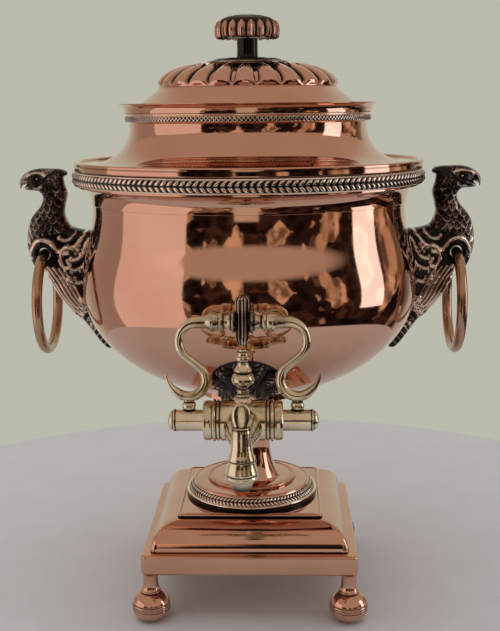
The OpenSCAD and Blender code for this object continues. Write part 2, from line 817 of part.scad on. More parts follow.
function eagle_scaled(p) = [p[0] * eagle_sx, p[1] * eagle_sz];
function both_sides(p, sx, sy) = concat(
    [for (q = p) [q[0] * sx, q[1] * sy]], [for (q = reversed(p)) [q[0] * sx, -q[1] * sy]]);

// Eagle on the +X side
module eagle_shape() {
    deep = 2 * eagle_full_t;
    thick = eagle_t / eagle_full_t;
    difference() {
        translate([belly_r, 0, belly_z]) intersection() {
            rotate([90, 0, 0]) linear_extrude(deep, center = true)
                polygon([for (p = smooth_loop(eagle_outline, 3)) eagle_scaled(p)]);
            rotate([90, 0, 90]) linear_extrude(4 * eagle_beak, center = true) rotate(90)
                polygon(both_sides(eagle_side, eagle_sz, thick));
            linear_extrude(4 * eagle_top, center = true) polygon(both_sides(eagle_plan, eagle_sx, thick));
        }
        bowl_body(-seam, wall_top);
        translate([belly_r + ring_hole_x, 0, belly_z + ring_hole_z]) rotate([90, 0, 0])
            cylinder(d = ring_hole_d, h = deep, center = true, $fn = small_fn);
        for (h = eagle_screw_heights) translate([0, 0, belly_z + h]) rotate([0, 90, 0])
            cylinder(d = eagle_screw_d + 2 * seam, h = bowl_r(h) + eagle_screw_reach + 0.4, $fn = small_fn);
    }
}

eagle_screw_reach = 7;
eagle_screw_heights = [30, -12];

module eagle_right() {
    color(patina) eagle_shape();
}

module eagle_left() {
    color(patina) mirror([1, 0, 0]) eagle_shape();
}

// A screw along X, s = 1 or -1, h above the belly, with a head that fits the inside of the bowl
module eagle_screw(s, h) {
    start = bowl_r(h) - sheet - eagle_screw_head_h;
    translate([0, 0, belly_z + h]) rotate([0, s * 90, 0]) translate([0, 0, start])
        cylinder(d = eagle_screw_d, h = bowl_r(h) + eagle_screw_reach - start, $fn = small_fn);
    intersection() {
        translate([0, 0, belly_z + h]) rotate([0, s * 90, 0]) translate([0, 0, start])
            cylinder(r = eagle_screw_d * 1.1, h = belly_r, $fn = small_fn);
        rotate(90) bowl_body(sheet + seam, wall_top);
    }
}

eagle_screw_head_h = 3.5;

module eagle_screws() {
    color(steel) for (s = [-1, 1], h = eagle_screw_heights) eagle_screw(s, h);
}

// The ring hangs from a point below the middle of its hole, so that its bend clears the edges of the hole
ring_wire_r = ring_t / 2;
ring_mid_r = ring_d / 2 - ring_wire_r;
ring_bend = ring_mid_r - sqrt(pow(ring_mid_r, 2) - pow(eagle_t / 2, 2));
ring_drop = ring_hole_d / 2 - ring_wire_r - ring_bend - 0.3;
ring_pivot = [belly_r + ring_hole_x, 0, belly_z + ring_hole_z - ring_drop];

module ring_shape() {
    color(copper) translate(ring_pivot - [0, 0, ring_mid_r]) rotate([0, 90, 0])
        rotate_extrude($fn = round_fn) translate([ring_mid_r, 0]) circle(r = ring_wire_r, $fn = small_fn);
}

module ring_right() {
    ring_shape();
}

module ring_left() {
    mirror([1, 0, 0]) ring_shape();
}

// ---- Tap ----

barrel_axis_z = bowl_z + barrel_z;
barrel_r = barrel_d / 2;
plug_r = plug_d / 2;
peg_r = peg_d / 2;
pipe_r = pipe_d / 2;
water_r = water_bore_d / 2;
gland_x = barrel_l / 2 - gland_w;
packing_t = 1;

// Origin in the middle of the barrel, +Z along the sloping pipe towards the bowl
module tap_axis() {
    translate([0, -barrel_y, barrel_axis_z]) rotate([pipe_slope - 90, 0, 0]) children();
}

// Origin in the middle of the barrel, axes as the urn's
module at_barrel() {
    translate([0, -barrel_y, barrel_axis_z]) children();
}

// A cylinder along X, centred in the barrel
module cross_cylinder(r, l, fn = round_fn) {
    rotate([0, 90, 0]) cylinder(r = r, h = l, center = true, $fn = fn);
}

// Distance from the barrel's axis to the outside of the bowl, along the sloping pipe:
// where the line meets the ellipse of the bowl's lower half
pipe_low = barrel_z - belly_h;
meet_a = pow(cos(pipe_slope) / belly_r, 2) + pow(sin(pipe_slope) / belly_h, 2);
meet_b = 2 * (pipe_low * sin(pipe_slope) / pow(belly_h, 2) - barrel_y * cos(pipe_slope) / pow(belly_r, 2));
meet_c = pow(barrel_y / belly_r, 2) + pow(pipe_low / belly_h, 2) - 1;
flange_at = (-meet_b - sqrt(meet_b * meet_b - 4 * meet_a * meet_c)) / (2 * meet_a);

back_nut_r = pipe_r + 3.5;
back_nut_h = 5;
back_nut_at = flange_at + 14;
pipe_end = back_nut_at + back_nut_h + 2;

module tap_flange() {
    r = flange_d / 2;
    lean = 26;
    front = 9.5;
    back = 20;
    color(patina) difference() {
        tap_axis() translate([0, 0, flange_at]) rotate([lean, 0, 0]) translate([0, 0, -front])
            rotate_extrude($fn = small_fn) polygon([[0, 0], [r * 0.42, 0], [r * 0.62, 2.4],
                [r * 0.86, 4.2], [r, 7.2], [r * 0.96, back], [0, back]]);
        bowl_body(-seam, wall_top);
        tap_axis() cylinder(r = pipe_r + seam, h = pipe_end, $fn = small_fn);
    }
}

// Wedge-shaped washer that fits the slanting inside of the bowl
module tap_saddle_washer() {
    low = flange_at - 14;
    color(pale_brass) intersection() {
        tap_axis() translate([0, 0, low]) difference() {
            cylinder(r = back_nut_r, h = back_nut_at - low, $fn = small_fn);
            translate([0, 0, -over]) cylinder(r = pipe_r + seam, h = pipe_end, $fn = small_fn);
        }
        bowl_body(sheet + seam, wall_top);
    }
}

module tap_back_nut() {
    color(pale_brass) tap_axis() translate([0, 0, back_nut_at]) difference() {
        cylinder(r = back_nut_r, h = back_nut_h, $fn = 6);
        translate([0, 0, -over]) cylinder(r = pipe_r + seam, h = back_nut_h + 2 * over, $fn = small_fn);
    }
}

socket_end = barrel_r + 8;
socket_bottom = barrel_r + 1;

module tap_pipe() {
    color(pale_brass) tap_axis() translate([0, 0, socket_bottom]) difference() {
        cylinder(r = pipe_r, h = pipe_end - socket_bottom, $fn = small_fn);
        translate([0, 0, -over]) cylinder(r = water_r, h = pipe_end, $fn = small_fn);
    }
}

outlet_tip_r = 6.4;
outlet_l = spout_out / cos(pipe_slope);

module tap_barrel() {
    bead_w = 2;
    cone_start = 8;
    color(pale_brass) difference() {
        union() {
            at_barrel() cross_cylinder(barrel_r, 2 * gland_x);
            at_barrel() for (s = [-1, 1]) translate([s * (gland_x - bead_w), 0, 0])
                cross_cylinder(barrel_r + 0.6, bead_w);
            tap_axis() cylinder(r = pipe_r + 1.8, h = socket_end, $fn = small_fn);
            tap_axis() mirror([0, 0, 1]) translate([0, 0, cone_start])
                cylinder(r1 = barrel_r - 0.8, r2 = outlet_tip_r, h = outlet_l - cone_start, $fn = small_fn);
        }
        at_barrel() cross_cylinder(plug_r + plug_fit, barrel_l + 2 * over, small_fn);
        tap_axis() translate([0, 0, socket_bottom]) cylinder(r = pipe_r + seam, h = barrel_r, $fn = small_fn);
        tap_axis() translate([0, 0, -outlet_l])
            cylinder(r = water_r, h = outlet_l + socket_end, $fn = small_fn);
        at_spout() spout_solid(seam);
    }
}

module gland_rings() {
    color(pale_brass) at_barrel() for (s = [-1, 1]) translate([s * (gland_x + gland_w / 2), 0, 0])
        difference() {
            cross_cylinder(barrel_r - 0.3, gland_w);
            cross_cylinder(peg_r + plug_fit, gland_w + 2 * over, small_fn);
        }
}

module gland_packings() {
    color(leather) at_barrel() for (s = [-1, 1]) translate([s * (gland_x - packing_t / 2), 0, 0])
        difference() {
            cross_cylinder(plug_r, packing_t - 0.1, small_fn);
            cross_cylinder(peg_r + plug_fit, packing_t + 2 * over, small_fn);
        }
}

peg_cap_l = 5;
peg_end = peg_span / 2 - peg_cap_l;
cap_pin_l = 5;
pin_r = 1.4;
pin_depth = 3;
ball_sink = 1.5;
ball_z = peg_r + yoke_ball_d / 2 - ball_sink;

// Clearance for the two balls and their pins, in the barrel's own axes
module ball_seats() {
    for (s = [-1, 1]) translate([s * yoke_ball_x, 0, 0]) {
        translate([0, 0, ball_z]) sphere(d = yoke_ball_d + 2 * seam, $fn = small_fn);
        translate([0, 0, peg_r - pin_depth])
            cylinder(r = pin_r + seam, h = pin_top + 0.2 - peg_r + pin_depth, $fn = small_fn);
    }
}

// The plug with its pegs. Its port lies across the water way at rest and along it when the yoke is down
module tap_plug() {
    color(pale_brass) at_barrel() difference() {
        union() {
            cross_cylinder(plug_r, 2 * (gland_x - packing_t) - 0.1, small_fn);
            cross_cylinder(peg_r, 2 * peg_end, small_fn);
        }
        rotate([pipe_slope, 0, 0]) cylinder(r = water_r, h = barrel_d, center = true, $fn = small_fn);
        ball_seats();
        for (s = [-1, 1]) rotate([0, s * 90, 0]) translate([0, 0, peg_end - cap_pin_l - 0.3])
            cylinder(r = pin_r + seam, h = cap_pin_l + over, $fn = small_fn);
    }
}

module peg_caps() {
    rim_l = 1.2;
    color(pale_brass) at_barrel() for (s = [-1, 1]) rotate([0, s * 90, 0]) translate([0, 0, peg_end]) {
        rotate_extrude($fn = small_fn) polygon(concat(
            [[0, 0], [peg_r + 0.5, 0], [peg_r + 0.5, rim_l]],
            arc_points(0, rim_l, peg_r, peg_cap_l - rim_l, 0, 90)));
        translate([0, 0, -cap_pin_l]) cylinder(r = pin_r, h = cap_pin_l + rim_l, $fn = small_fn);
    }
}

// Each ball has a pin that goes down into the peg and up into the scroll
module yoke_balls() {
    color(pale_brass) at_barrel() for (s = [-1, 1]) translate([s * yoke_ball_x, 0, 0]) {
        translate([0, 0, ball_z]) sphere(d = yoke_ball_d, $fn = small_fn);
        translate([0, 0, peg_r - pin_depth + 0.2])
            cylinder(r = pin_r, h = pin_top - peg_r + pin_depth - 0.2, $fn = small_fn);
    }
}

// A scroll is an upper curl, a straight link that touches both curls, a lower curl and its open end.
// Angles are counted in the XZ plane from +X towards +Z.
ball_in_scroll = 0.8;
low_curl_z = ball_z + yoke_ball_d / 2 - ball_in_scroll + scroll_t / 2 + low_curl_r;
pin_top = low_curl_z - low_curl_r + 1;
top_curl_x = yoke_ball_x - 6.4;
top_curl_z = crossbar_h - top_curl_r;
curl_gap = norm([yoke_ball_x - top_curl_x, low_curl_z - top_curl_z]);
link_angle = atan2(low_curl_z - top_curl_z, yoke_ball_x - top_curl_x)
    + acos((top_curl_r + low_curl_r) / curl_gap);
link_l = sqrt(pow(curl_gap, 2) - pow(top_curl_r + low_curl_r, 2));
full_turn = 360;
closed_turn = 30;
open_turn = 46;
open_r = low_curl_r + 7;
crossbar_r = 3;
crossbar_end = 18;
collar_end_r = 5.6;
spigot_r = 1.8;
spigot_l = 4;
root_l = 6;
tip_ball_d = scroll_t + 0.6;

// Part of a ring of round bar in the XZ plane, centred on [x, z], from angle a through the angle sweep
module bar_arc(x, z, r, a, sweep) {
    translate([x, 0, z]) rotate([90, 0, 0]) rotate_extrude(angle = sweep, start = a, $fn = round_fn)
        translate([r, 0]) circle(d = scroll_t, $fn = small_fn);
}

// Ball on the end of a bar arc, at angle a
module arc_ball(x, z, r, a, d) {
    translate([x + r * cos(a), 0, z + r * sin(a)]) sphere(d = d, $fn = small_fn);
}

// Scroll on the +X side. Each joint between two bars is covered by a ball a little thicker than they are
module scroll_shape() {
    joint_d = scroll_t + 4 * seam;
    low_start = link_angle + full_turn / 2;
    open_start = closed_turn - 90;
    link_from = [top_curl_x + top_curl_r * cos(link_angle), 0, top_curl_z + top_curl_r * sin(link_angle)];
    open_x = yoke_ball_x + (low_curl_r - open_r) * cos(open_start);
    open_z = low_curl_z + (low_curl_r - open_r) * sin(open_start);
    color(pale_brass) at_barrel() difference() {
        union() {
            translate([crossbar_end, 0, crossbar_h]) rotate([0, 90, 0]) {
                cylinder(r1 = collar_end_r, r2 = scroll_t / 2, h = root_l, $fn = small_fn);
                cylinder(d = scroll_t, h = top_curl_x - crossbar_end, $fn = small_fn);
            }
            bar_arc(top_curl_x, top_curl_z, top_curl_r, link_angle, 90 - link_angle);
            arc_ball(top_curl_x, top_curl_z, top_curl_r, link_angle, joint_d);
            translate(link_from) rotate([0, full_turn / 2 - link_angle, 0])
                cylinder(d = scroll_t, h = link_l, $fn = small_fn);
            arc_ball(yoke_ball_x, low_curl_z, low_curl_r, low_start, joint_d);
            bar_arc(yoke_ball_x, low_curl_z, low_curl_r, low_start, open_start - low_start + full_turn);
            arc_ball(open_x, open_z, open_r, open_start, joint_d);
            bar_arc(open_x, open_z, open_r, open_start, open_turn);
            arc_ball(open_x, open_z, open_r, open_start + open_turn, tip_ball_d);
        }
        translate([crossbar_end - over, 0, crossbar_h]) rotate([0, 90, 0])
            cylinder(r = spigot_r + seam, h = spigot_l + over + 0.2, $fn = small_fn);
        ball_seats();
    }
}

module yoke_scroll_right() {
    scroll_shape();
}

module yoke_scroll_left() {
    mirror([1, 0, 0]) scroll_shape();
}

module yoke_crossbar() {
    color(pale_brass) at_barrel() translate([0, 0, crossbar_h]) {
        cross_cylinder(crossbar_r, 2 * crossbar_end, small_fn);
        cross_cylinder(spigot_r, 2 * (crossbar_end + spigot_l), small_fn);
    }
}

// Turned sleeves on the cross-bar, on both sides of the grip: a wide ring, a waist, a narrow ring and a mouth
module yoke_collars() {
    start = grip_w / 2 + seam;
    end = crossbar_end - seam;
    bore_r = crossbar_r + seam;
    wide_r = 6.8;
    waist = 5;
    narrow_r = 5.9;
    color(pale_brass) at_barrel() for (s = [-1, 1]) translate([0, 0, crossbar_h]) rotate([0, s * 90, 0])
        rotate_extrude($fn = small_fn) polygon([
            [bore_r, start], [wide_r - 0.6, start], [wide_r, start + 0.8], [wide_r, start + 2.2],
            [waist, start + 3], [waist, end - 4.4], [narrow_r, end - 3.8], [narrow_r, end - 2.6],
            [waist - 0.4, end - 2], [collar_end_r, end], [bore_r, end]]);
}

// The grip swings in front of the finial and of the crest, so it starts past both of them
yoke_gap = 2.2;
crest_t = 3.4;
grip_low = max(barrel_r + finial_h, norm([spout_out + crest_t / 2, crest_top])) + yoke_gap;

module yoke_grip() {
    reeds = 4;
    reed_d = grip_w / reeds;
    top_r = grip_w * 0.62;
    foot_w = grip_w * 0.64;
    color(patina) at_barrel() difference() {
        translate([0, 0, grip_low]) intersection() {
            linear_extrude(grip_h) {
                square([grip_w, grip_t - reed_d], center = true);
                for (i = [0:reeds - 1], s = [-1, 1])
                    translate([(i - (reeds - 1) / 2) * reed_d, s * (grip_t - reed_d) / 2])
                        circle(d = reed_d, $fn = small_fn);
            }
            rotate([90, 0, 0]) linear_extrude(2 * grip_t, center = true) {
                polygon([[-foot_w / 2, 0], [foot_w / 2, 0], [grip_w / 2, 4], [grip_w / 2, grip_h - 3],
                    [-grip_w / 2, grip_h - 3], [-grip_w / 2, 4]]);
                translate([0, grip_h - top_r]) circle(r = top_r, $fn = small_fn);
            }
        }
        translate([0, 0, crossbar_h]) cross_cylinder(crossbar_r + seam, 2 * grip_w, small_fn);
    }
}

// Outline of the finial: radius, and height as a share of its full height
finial_outline = [
    [4.8, 0.03], [3.4, 0.08], [3.7, 0.12], [3.1, 0.15], [3.5, 0.2], [3, 0.25], [3.3, 0.3], [5.6, 0.33],
    [7, 0.39], [7, 0.45], [5.6, 0.52], [4, 0.55], [5.4, 0.58], [4.7, 0.64], [3.2, 0.71], [3.1, 0.77],
    [4.3, 0.8], [4.3, 0.86], [3.4, 0.9], [2.4, 0.95], [1.8, 1], [0, 1]
];

module tap_finial() {
    root = 4;
    color(pale_brass) at_barrel() difference() {
        rotate_extrude($fn = small_fn) polygon(concat(
            [[0, barrel_r - root], [finial_outline[0][0], barrel_r - root]],
            [for (p = finial_outline) [p[0], barrel_r + p[1] * finial_h]]));
        cross_cylinder(barrel_r + seam, barrel_l);
    }
}

module at_spout() {
    translate([0, -barrel_y - spout_out, barrel_axis_z]) children();
}

// Outline of the spout: radius, and height as a share of the drop from the barrel's axis to the nozzle's tip
spout_outline = [
    [4.4, 0.22], [4.4, 0.1], [5, -0.01], [5.8, -0.14], [6.5, -0.32], [7.6, -0.4], [8.2, -0.42], [7.4, -0.47],
    [8.2, -0.56], [9.7, -0.68], [9.7, -0.7], [9.2, -0.72], [9.9, -0.75], [9.6, -0.79], [7.3, -0.82], [5.9, -1]
];

// The outside of the spout, grown by the given amount
module spout_solid(grow) {
    top = spout_outline[0];
    tip = spout_outline[len(spout_outline) - 1];
    rotate_extrude($fn = small_fn) polygon(concat(
        [[0, top[1] * spout_drop + grow]],
        [for (p = spout_outline) [p[0] + grow, p[1] * spout_drop + (p == top ? grow : 0)]],
        [[0, tip[1] * spout_drop]]));
}

module tap_spout() {
    bore_h = spout_drop - outlet_l * sin(pipe_slope) + over;
    color(pale_brass) difference() {
        at_spout() difference() {
            spout_solid(0);
            translate([0, 0, -spout_drop - over])
                cylinder(d = nozzle_bore_d, h = bore_h + over, $fn = small_fn);
        }
        tap_axis() translate([0, 0, -outlet_l]) cylinder(r = water_r, h = outlet_l, $fn = small_fn);
    }
}

module spout_crest() {
    foot = spout_outline[0][1] * spout_drop + seam;
    color(pale_brass) at_spout() rotate([90, 0, 0]) linear_extrude(crest_t, center = true) {
        intersection() {
            union() {
                translate([0, crest_top - crest_w]) circle(r = crest_w, $fn = round_fn);
                translate([-crest_w / 2, foot]) square([crest_w, crest_w / 2]);
            }
            translate([-crest_w / 2, foot]) square([crest_w, crest_top]);
        }
    }
}

foot_front_left();
foot_front_right();
foot_back_left();
foot_back_right();
foot_studs();
corner_bosses();
base_plate();
base_slab();
base_cushion();
platform();
pedestal_ring();
pedestal_disc();
stem();
stem_cup();
bowl_seat_ring();
tie_rod();
tie_rod_washers();
tie_rod_nuts();
bowl();
rim_moulding();
rim_band();
rim_lip();
shoulder();
neck_rim();
neck_band();
lid();
lid_bezel();
lid_disc();
knob_stem();
knob();
knob_stud();
knob_washer();
knob_nut();
heater_sleeve();
heater_cover();
heater_slug();
slug_eye();
eagle_left();
eagle_right();
eagle_screws();
ring_left();
ring_right();
tap_flange();
tap_saddle_washer();
tap_back_nut();
tap_pipe();
tap_barrel();
gland_rings();
gland_packings();
tap_plug();
peg_caps();
yoke_balls();
yoke_scroll_left();
yoke_scroll_right();
yoke_crossbar();
yoke_collars();
yoke_grip();
tap_finial();
tap_spout();
spout_crest();
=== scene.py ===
import json
import math
from types import SimpleNamespace

import bpy
import numpy as np
from mathutils import Matrix, Vector
from mathutils.geometry import delaunay_2d_cdt


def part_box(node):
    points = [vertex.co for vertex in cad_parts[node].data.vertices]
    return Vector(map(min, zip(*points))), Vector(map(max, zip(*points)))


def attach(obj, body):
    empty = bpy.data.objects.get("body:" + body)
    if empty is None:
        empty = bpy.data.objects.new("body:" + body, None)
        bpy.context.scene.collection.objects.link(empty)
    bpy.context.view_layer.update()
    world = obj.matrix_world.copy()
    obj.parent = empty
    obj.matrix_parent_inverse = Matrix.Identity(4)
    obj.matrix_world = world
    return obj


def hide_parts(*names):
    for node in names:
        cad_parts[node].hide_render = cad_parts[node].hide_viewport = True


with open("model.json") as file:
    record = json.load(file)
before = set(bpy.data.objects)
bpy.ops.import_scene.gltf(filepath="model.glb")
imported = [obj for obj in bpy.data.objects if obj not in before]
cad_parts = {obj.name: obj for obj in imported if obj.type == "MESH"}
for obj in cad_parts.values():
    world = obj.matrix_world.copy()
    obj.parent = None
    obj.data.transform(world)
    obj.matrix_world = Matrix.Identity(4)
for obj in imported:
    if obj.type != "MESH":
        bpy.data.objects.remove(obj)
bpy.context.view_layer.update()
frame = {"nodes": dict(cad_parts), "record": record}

# Lengths below are in millimetres, in the frame of the CAD model. Meshes are written in metres.
MM = 0.001
FINE = 256      # steps round a large turned piece
MEDIUM = 128    # steps round a small turned piece
TAU = 2 * math.pi


def span(node):
    """Box of a CAD node in millimetres: its sides, width, depth, height and middle. r is how far it reaches
    along +X."""
    low, high = (Vector(corner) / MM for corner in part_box(node))
    return SimpleNamespace(
        x0=low.x, x1=high.x, y0=low.y, y1=high.y, z0=low.z, z1=high.z,
        w=high.x - low.x, d=high.y - low.y, h=high.z - low.z, r=high.x,
        middle=((low.x + high.x) / 2, (low.y + high.y) / 2, (low.z + high.z) / 2))


def reach(node):
    """How far a CAD node that stands round the Z axis reaches from it, its bottom and its top."""
    box = span(node)
    return box.r, box.z0, box.z1


# ---- Formulas ----

def unit(value):
    """value, held between 0 and 1."""
    return np.clip(value, 0, 1)


def between(value, low, high):
    """0 below low, 1 above high, and smooth between them."""
    share = unit((value - low) / (high - low))
    return share * share * (3 - 2 * share)


def bell(value, middle, width):
    """1 at the middle, falling smoothly to 0 on both sides."""
    return np.exp(-((value - middle) / width) ** 2)


def from_middle(turn):
    """0 in the middle of each repeat of a pattern and 1 at its edges. turn counts the repeats."""
    return np.abs(2 * (turn - np.floor(turn)) - 1)


def side_lengths(points):
    return np.linalg.norm(np.diff(points, axis=0), axis=1)


def distances(points):
    """How far along the points each of them is."""
    return np.concatenate([[0], np.cumsum(side_lengths(points))])


# ---- Outlines ----

def near(x, z, *offsets):
    """Points at the given offsets from one place."""
    return [(x + right, z + up) for right, up in offsets]


def arc(cx, cz, rx, rz, start, end, steps=24):
    """Points on part of an ellipse, from angle start to angle end in degrees."""
    turn = np.radians(np.linspace(start, end, steps + 1))
    return [(cx + rx * math.cos(t), cz + rz * math.sin(t)) for t in turn]


def soft(points, radius=0.4, closed=True):
    """The outline with its sharp corners rounded to the given radius, as far as their sides allow."""
    smallest_turn = math.radians(20)
    result = []
    count = len(points)
    for i, corner in enumerate(points):
        corner = np.array(corner, float)
        if not closed and i in (0, count - 1):
            result.append(tuple(corner))
            continue
        before = np.array(points[i - 1], float) - corner
        after = np.array(points[(i + 1) % count], float) - corner
        len_before, len_after = np.linalg.norm(before), np.linalg.norm(after)
        if min(len_before, len_after) < 1e-6:
            continue
        before, after = before / len_before, after / len_after
        turn = math.pi - math.acos(max(-1, min(1, float(before @ after))))
        if turn < smallest_turn:
            result.append(tuple(corner))
            continue
        cut = min(radius * math.tan(min(turn, 2.6) / 2), 0.45 * len_before, 0.45 * len_after)
        start, end = corner + before * cut, corner + after * cut
        for t in np.linspace(0, 1, 5):
            result.append(tuple((1 - t) ** 2 * start + 2 * t * (1 - t) * corner + t * t * end))
    return result


def dense(points, step, closed=True):
    """The outline with its long sides divided, so that no side is longer than step."""
    result = []
    last = len(points) if closed else len(points) - 1
    for i in range(last):
        a, b = np.array(points[i], float), np.array(points[(i + 1) % len(points)], float)
        parts = max(1, int(math.ceil(np.linalg.norm(b - a) / step)))
        result += [tuple(a + (b - a) * k / parts) for k in range(parts)]
    return result if closed else result + [tuple(points[-1])]


# ---- Meshes ----

def smooth_object(name, verts, faces, look, sharp=35):
    """An object from vertices in millimetres, shaded smooth apart from edges of more than sharp degrees."""
    mesh = bpy.data.meshes.new(name)
    mesh.from_pydata((np.asarray(verts, float) * MM).tolist(), [], faces)
    mesh.polygons.foreach_set("use_smooth", np.ones(len(mesh.polygons), bool))
    mesh.set_sharp_from_angle(angle=math.radians(sharp))
    mesh.materials.append(look)
    result = bpy.data.objects.new(name, mesh)
    bpy.context.scene.collection.objects.link(result)
    return result


def grid_faces(rows, around, closed=False):
    """Quads of a grid that is stored loop by loop. closed joins the last loop to the first."""
    i = np.arange(rows if closed else rows - 1)[:, None]
    j = np.arange(around)[None, :]
    i2, j2 = (i + 1) % rows, (j + 1) % around
    quads = np.stack(np.broadcast_arrays(
        i * around + j, i * around + j2, i2 * around + j2, i2 * around + j), axis=-1)
    return quads.reshape(-1, 4).tolist()


def outline_normals(points, closed):
    """Unit vectors that point out of an outline that goes up on its outside."""
    if closed:
        along = np.roll(points, -1, axis=0) - np.roll(points, 1, axis=0)
    else:
        along = np.gradient(points, axis=0)
    normal = np.stack([along[:, 1], -along[:, 0]], axis=1)
    return normal / np.maximum(np.linalg.norm(normal, axis=1, keepdims=True), 1e-9)


def turned_mesh(outline, steps=FINE, bump=None):
    """Vertices, faces and relief of a solid turned round Z.

    The outline lists (radius, height) points, up on the outside. If it begins and ends on the axis, the ends
    become poles, and otherwise it is closed on itself. bump(spot) gives how far each point stands out of the
    surface, and how bright or dark it is, from 0 to 1. spot has the angle round Z, the distance along the
    outline, the radius r and the height z."""
    points = np.array(outline, float)
    poles = abs(points[0, 0]) < 1e-6 and abs(points[-1, 0]) < 1e-6
    angle = np.arange(steps) * TAU / steps
    size = (len(points), steps)
    spot = SimpleNamespace(
        angle=angle[None, :], along=distances(points)[:, None], r=points[:, 0:1], z=points[:, 1:2])
    shift, relief = bump(spot) if bump else (0.0, 0.0)
    shift, relief = np.broadcast_to(shift, size), np.broadcast_to(relief, size)
    normal = outline_normals(points, not poles)
    radius = points[:, 0:1] + normal[:, 0:1] * shift
    height = points[:, 1:2] + normal[:, 1:2] * shift
    if poles:
        radius, height, relief = radius[1:-1], height[1:-1], relief[1:-1]
    rows = len(radius)
    verts = np.stack([radius * np.cos(angle), radius * np.sin(angle), height], axis=-1).reshape(-1, 3)
    relief = relief.reshape(-1)
    faces = grid_faces(rows, steps, not poles)
    if poles:
        low, high = len(verts), len(verts) + 1
        verts = np.vstack([verts, [0, 0, points[0, 1]], [0, 0, points[-1, 1]]])
        relief = np.concatenate([relief, [0, 0]])
        top = (rows - 1) * steps
        faces += [[low, (j + 1) % steps, j] for j in range(steps)]
        faces += [[high, top + j, top + (j + 1) % steps] for j in range(steps)]
    return verts, faces, relief


def square_mesh(outline, corner, dark=None, corner_steps=8):
    """A block with a square plan and rounded corners, from a closed outline of (half width, height) points.
    dark(half width, height) says how much painted shade each point of the outline gets, from 0 to 1."""
    rows = []
    turn = np.radians(np.linspace(0, 90, corner_steps + 1))
    for half, height in outline:
        r = min(corner, 0.9 * half)
        flat = half - r
        near = max(flat - 1, 0.5 * flat)
        quarter = np.vstack([
            np.stack([flat + r * np.cos(turn), flat + r * np.sin(turn)], axis=1),
            [[near, half], [0, half], [-near, half]]])
        loop = []
        for _ in range(4):
            loop.append(quarter)
            quarter = np.stack([-quarter[:, 1], quarter[:, 0]], axis=1)
        loop = np.vstack(loop)
        rows.append(np.column_stack([loop, np.full(len(loop), height)]))
    faces = grid_faces(len(rows), len(rows[0]), True)
    shade = None
    if dark:
        shade = np.repeat([dark(half, height) for half, height in outline], len(rows[0]))
    return np.vstack(rows), faces, shade


def loft_mesh(rows):
    """A solid between loops of points from low to high, with flat ends. Each loop goes anticlockwise."""
    rows = np.asarray(rows, float)
    count, around = rows.shape[:2]
    first = list(range(around))
    last = [(count - 1) * around + index for index in first]
    return rows.reshape(-1, 3), grid_faces(count, around) + [first[::-1], last], None


def rod_mesh(path, radii, around=28):
    """A round bar along a path that lies in a plane of constant Y, with rounded ends."""
    along = np.gradient(path, axis=0)
    along /= np.linalg.norm(along, axis=1, keepdims=True)
    swell = np.radians([84, 68, 50, 30])
    before = path[0] - along[0] * radii[0] * np.sin(swell)[:, None]
    after = path[-1] + along[-1] * radii[-1] * np.sin(swell[::-1])[:, None]
    path = np.vstack([before, path, after])
    along = np.vstack([np.repeat(along[:1], 4, 0), along, np.repeat(along[-1:], 4, 0)])
    radii = np.concatenate([radii[0] * np.cos(swell), radii, radii[-1] * np.cos(swell[::-1])])
    across = np.array([0.0, 1.0, 0.0])
    up = np.cross(along, across)
    turn = np.arange(around) * TAU / around
    return loft_mesh(path[:, None] + radii[:, None, None] * (
        np.cos(turn)[None, :, None] * across + np.sin(turn)[None, :, None] * up[:, None]))


def moved(mesh, *places):
    """The mesh after each of the moves in turn."""
    verts, faces, relief = mesh
    for place in places:
        verts = place(verts)
    return verts, faces, relief


def joined(*meshes):
    """One mesh of several."""
    verts, faces, relief, start = [], [], [], 0
    for part_verts, part_faces, part_relief in meshes:
        verts.append(part_verts)
        relief.append(np.zeros(len(part_verts)) if part_relief is None else part_relief)
        faces += [[index + start for index in face] for face in part_faces]
        start += len(part_verts)
    return np.vstack(verts), faces, np.concatenate(relief)


def both_sides(mesh, place):
    """Two copies of a mesh, moved by place(-1) and place(1)."""
    return joined(*[moved(mesh, place(side)) for side in (-1, 1)])


def at(x, y, z=0):
    return lambda verts: verts + np.array([x, y, z])


def along_x(side=1):
    """Lays a piece that was turned round Z along X, with its top end towards +X or -X."""
    return lambda verts: np.stack([side * verts[:, 2], side * verts[:, 1], -verts[:, 0]], axis=1)


def placed(matrix):
    """Moves a piece by a matrix whose lengths are in millimetres."""
    turn, shift = np.array(matrix.to_3x3()), np.array(matrix.translation)
    return lambda verts: verts @ turn.T + shift


# ---- Materials ----

WHITE = (1, 1, 1)


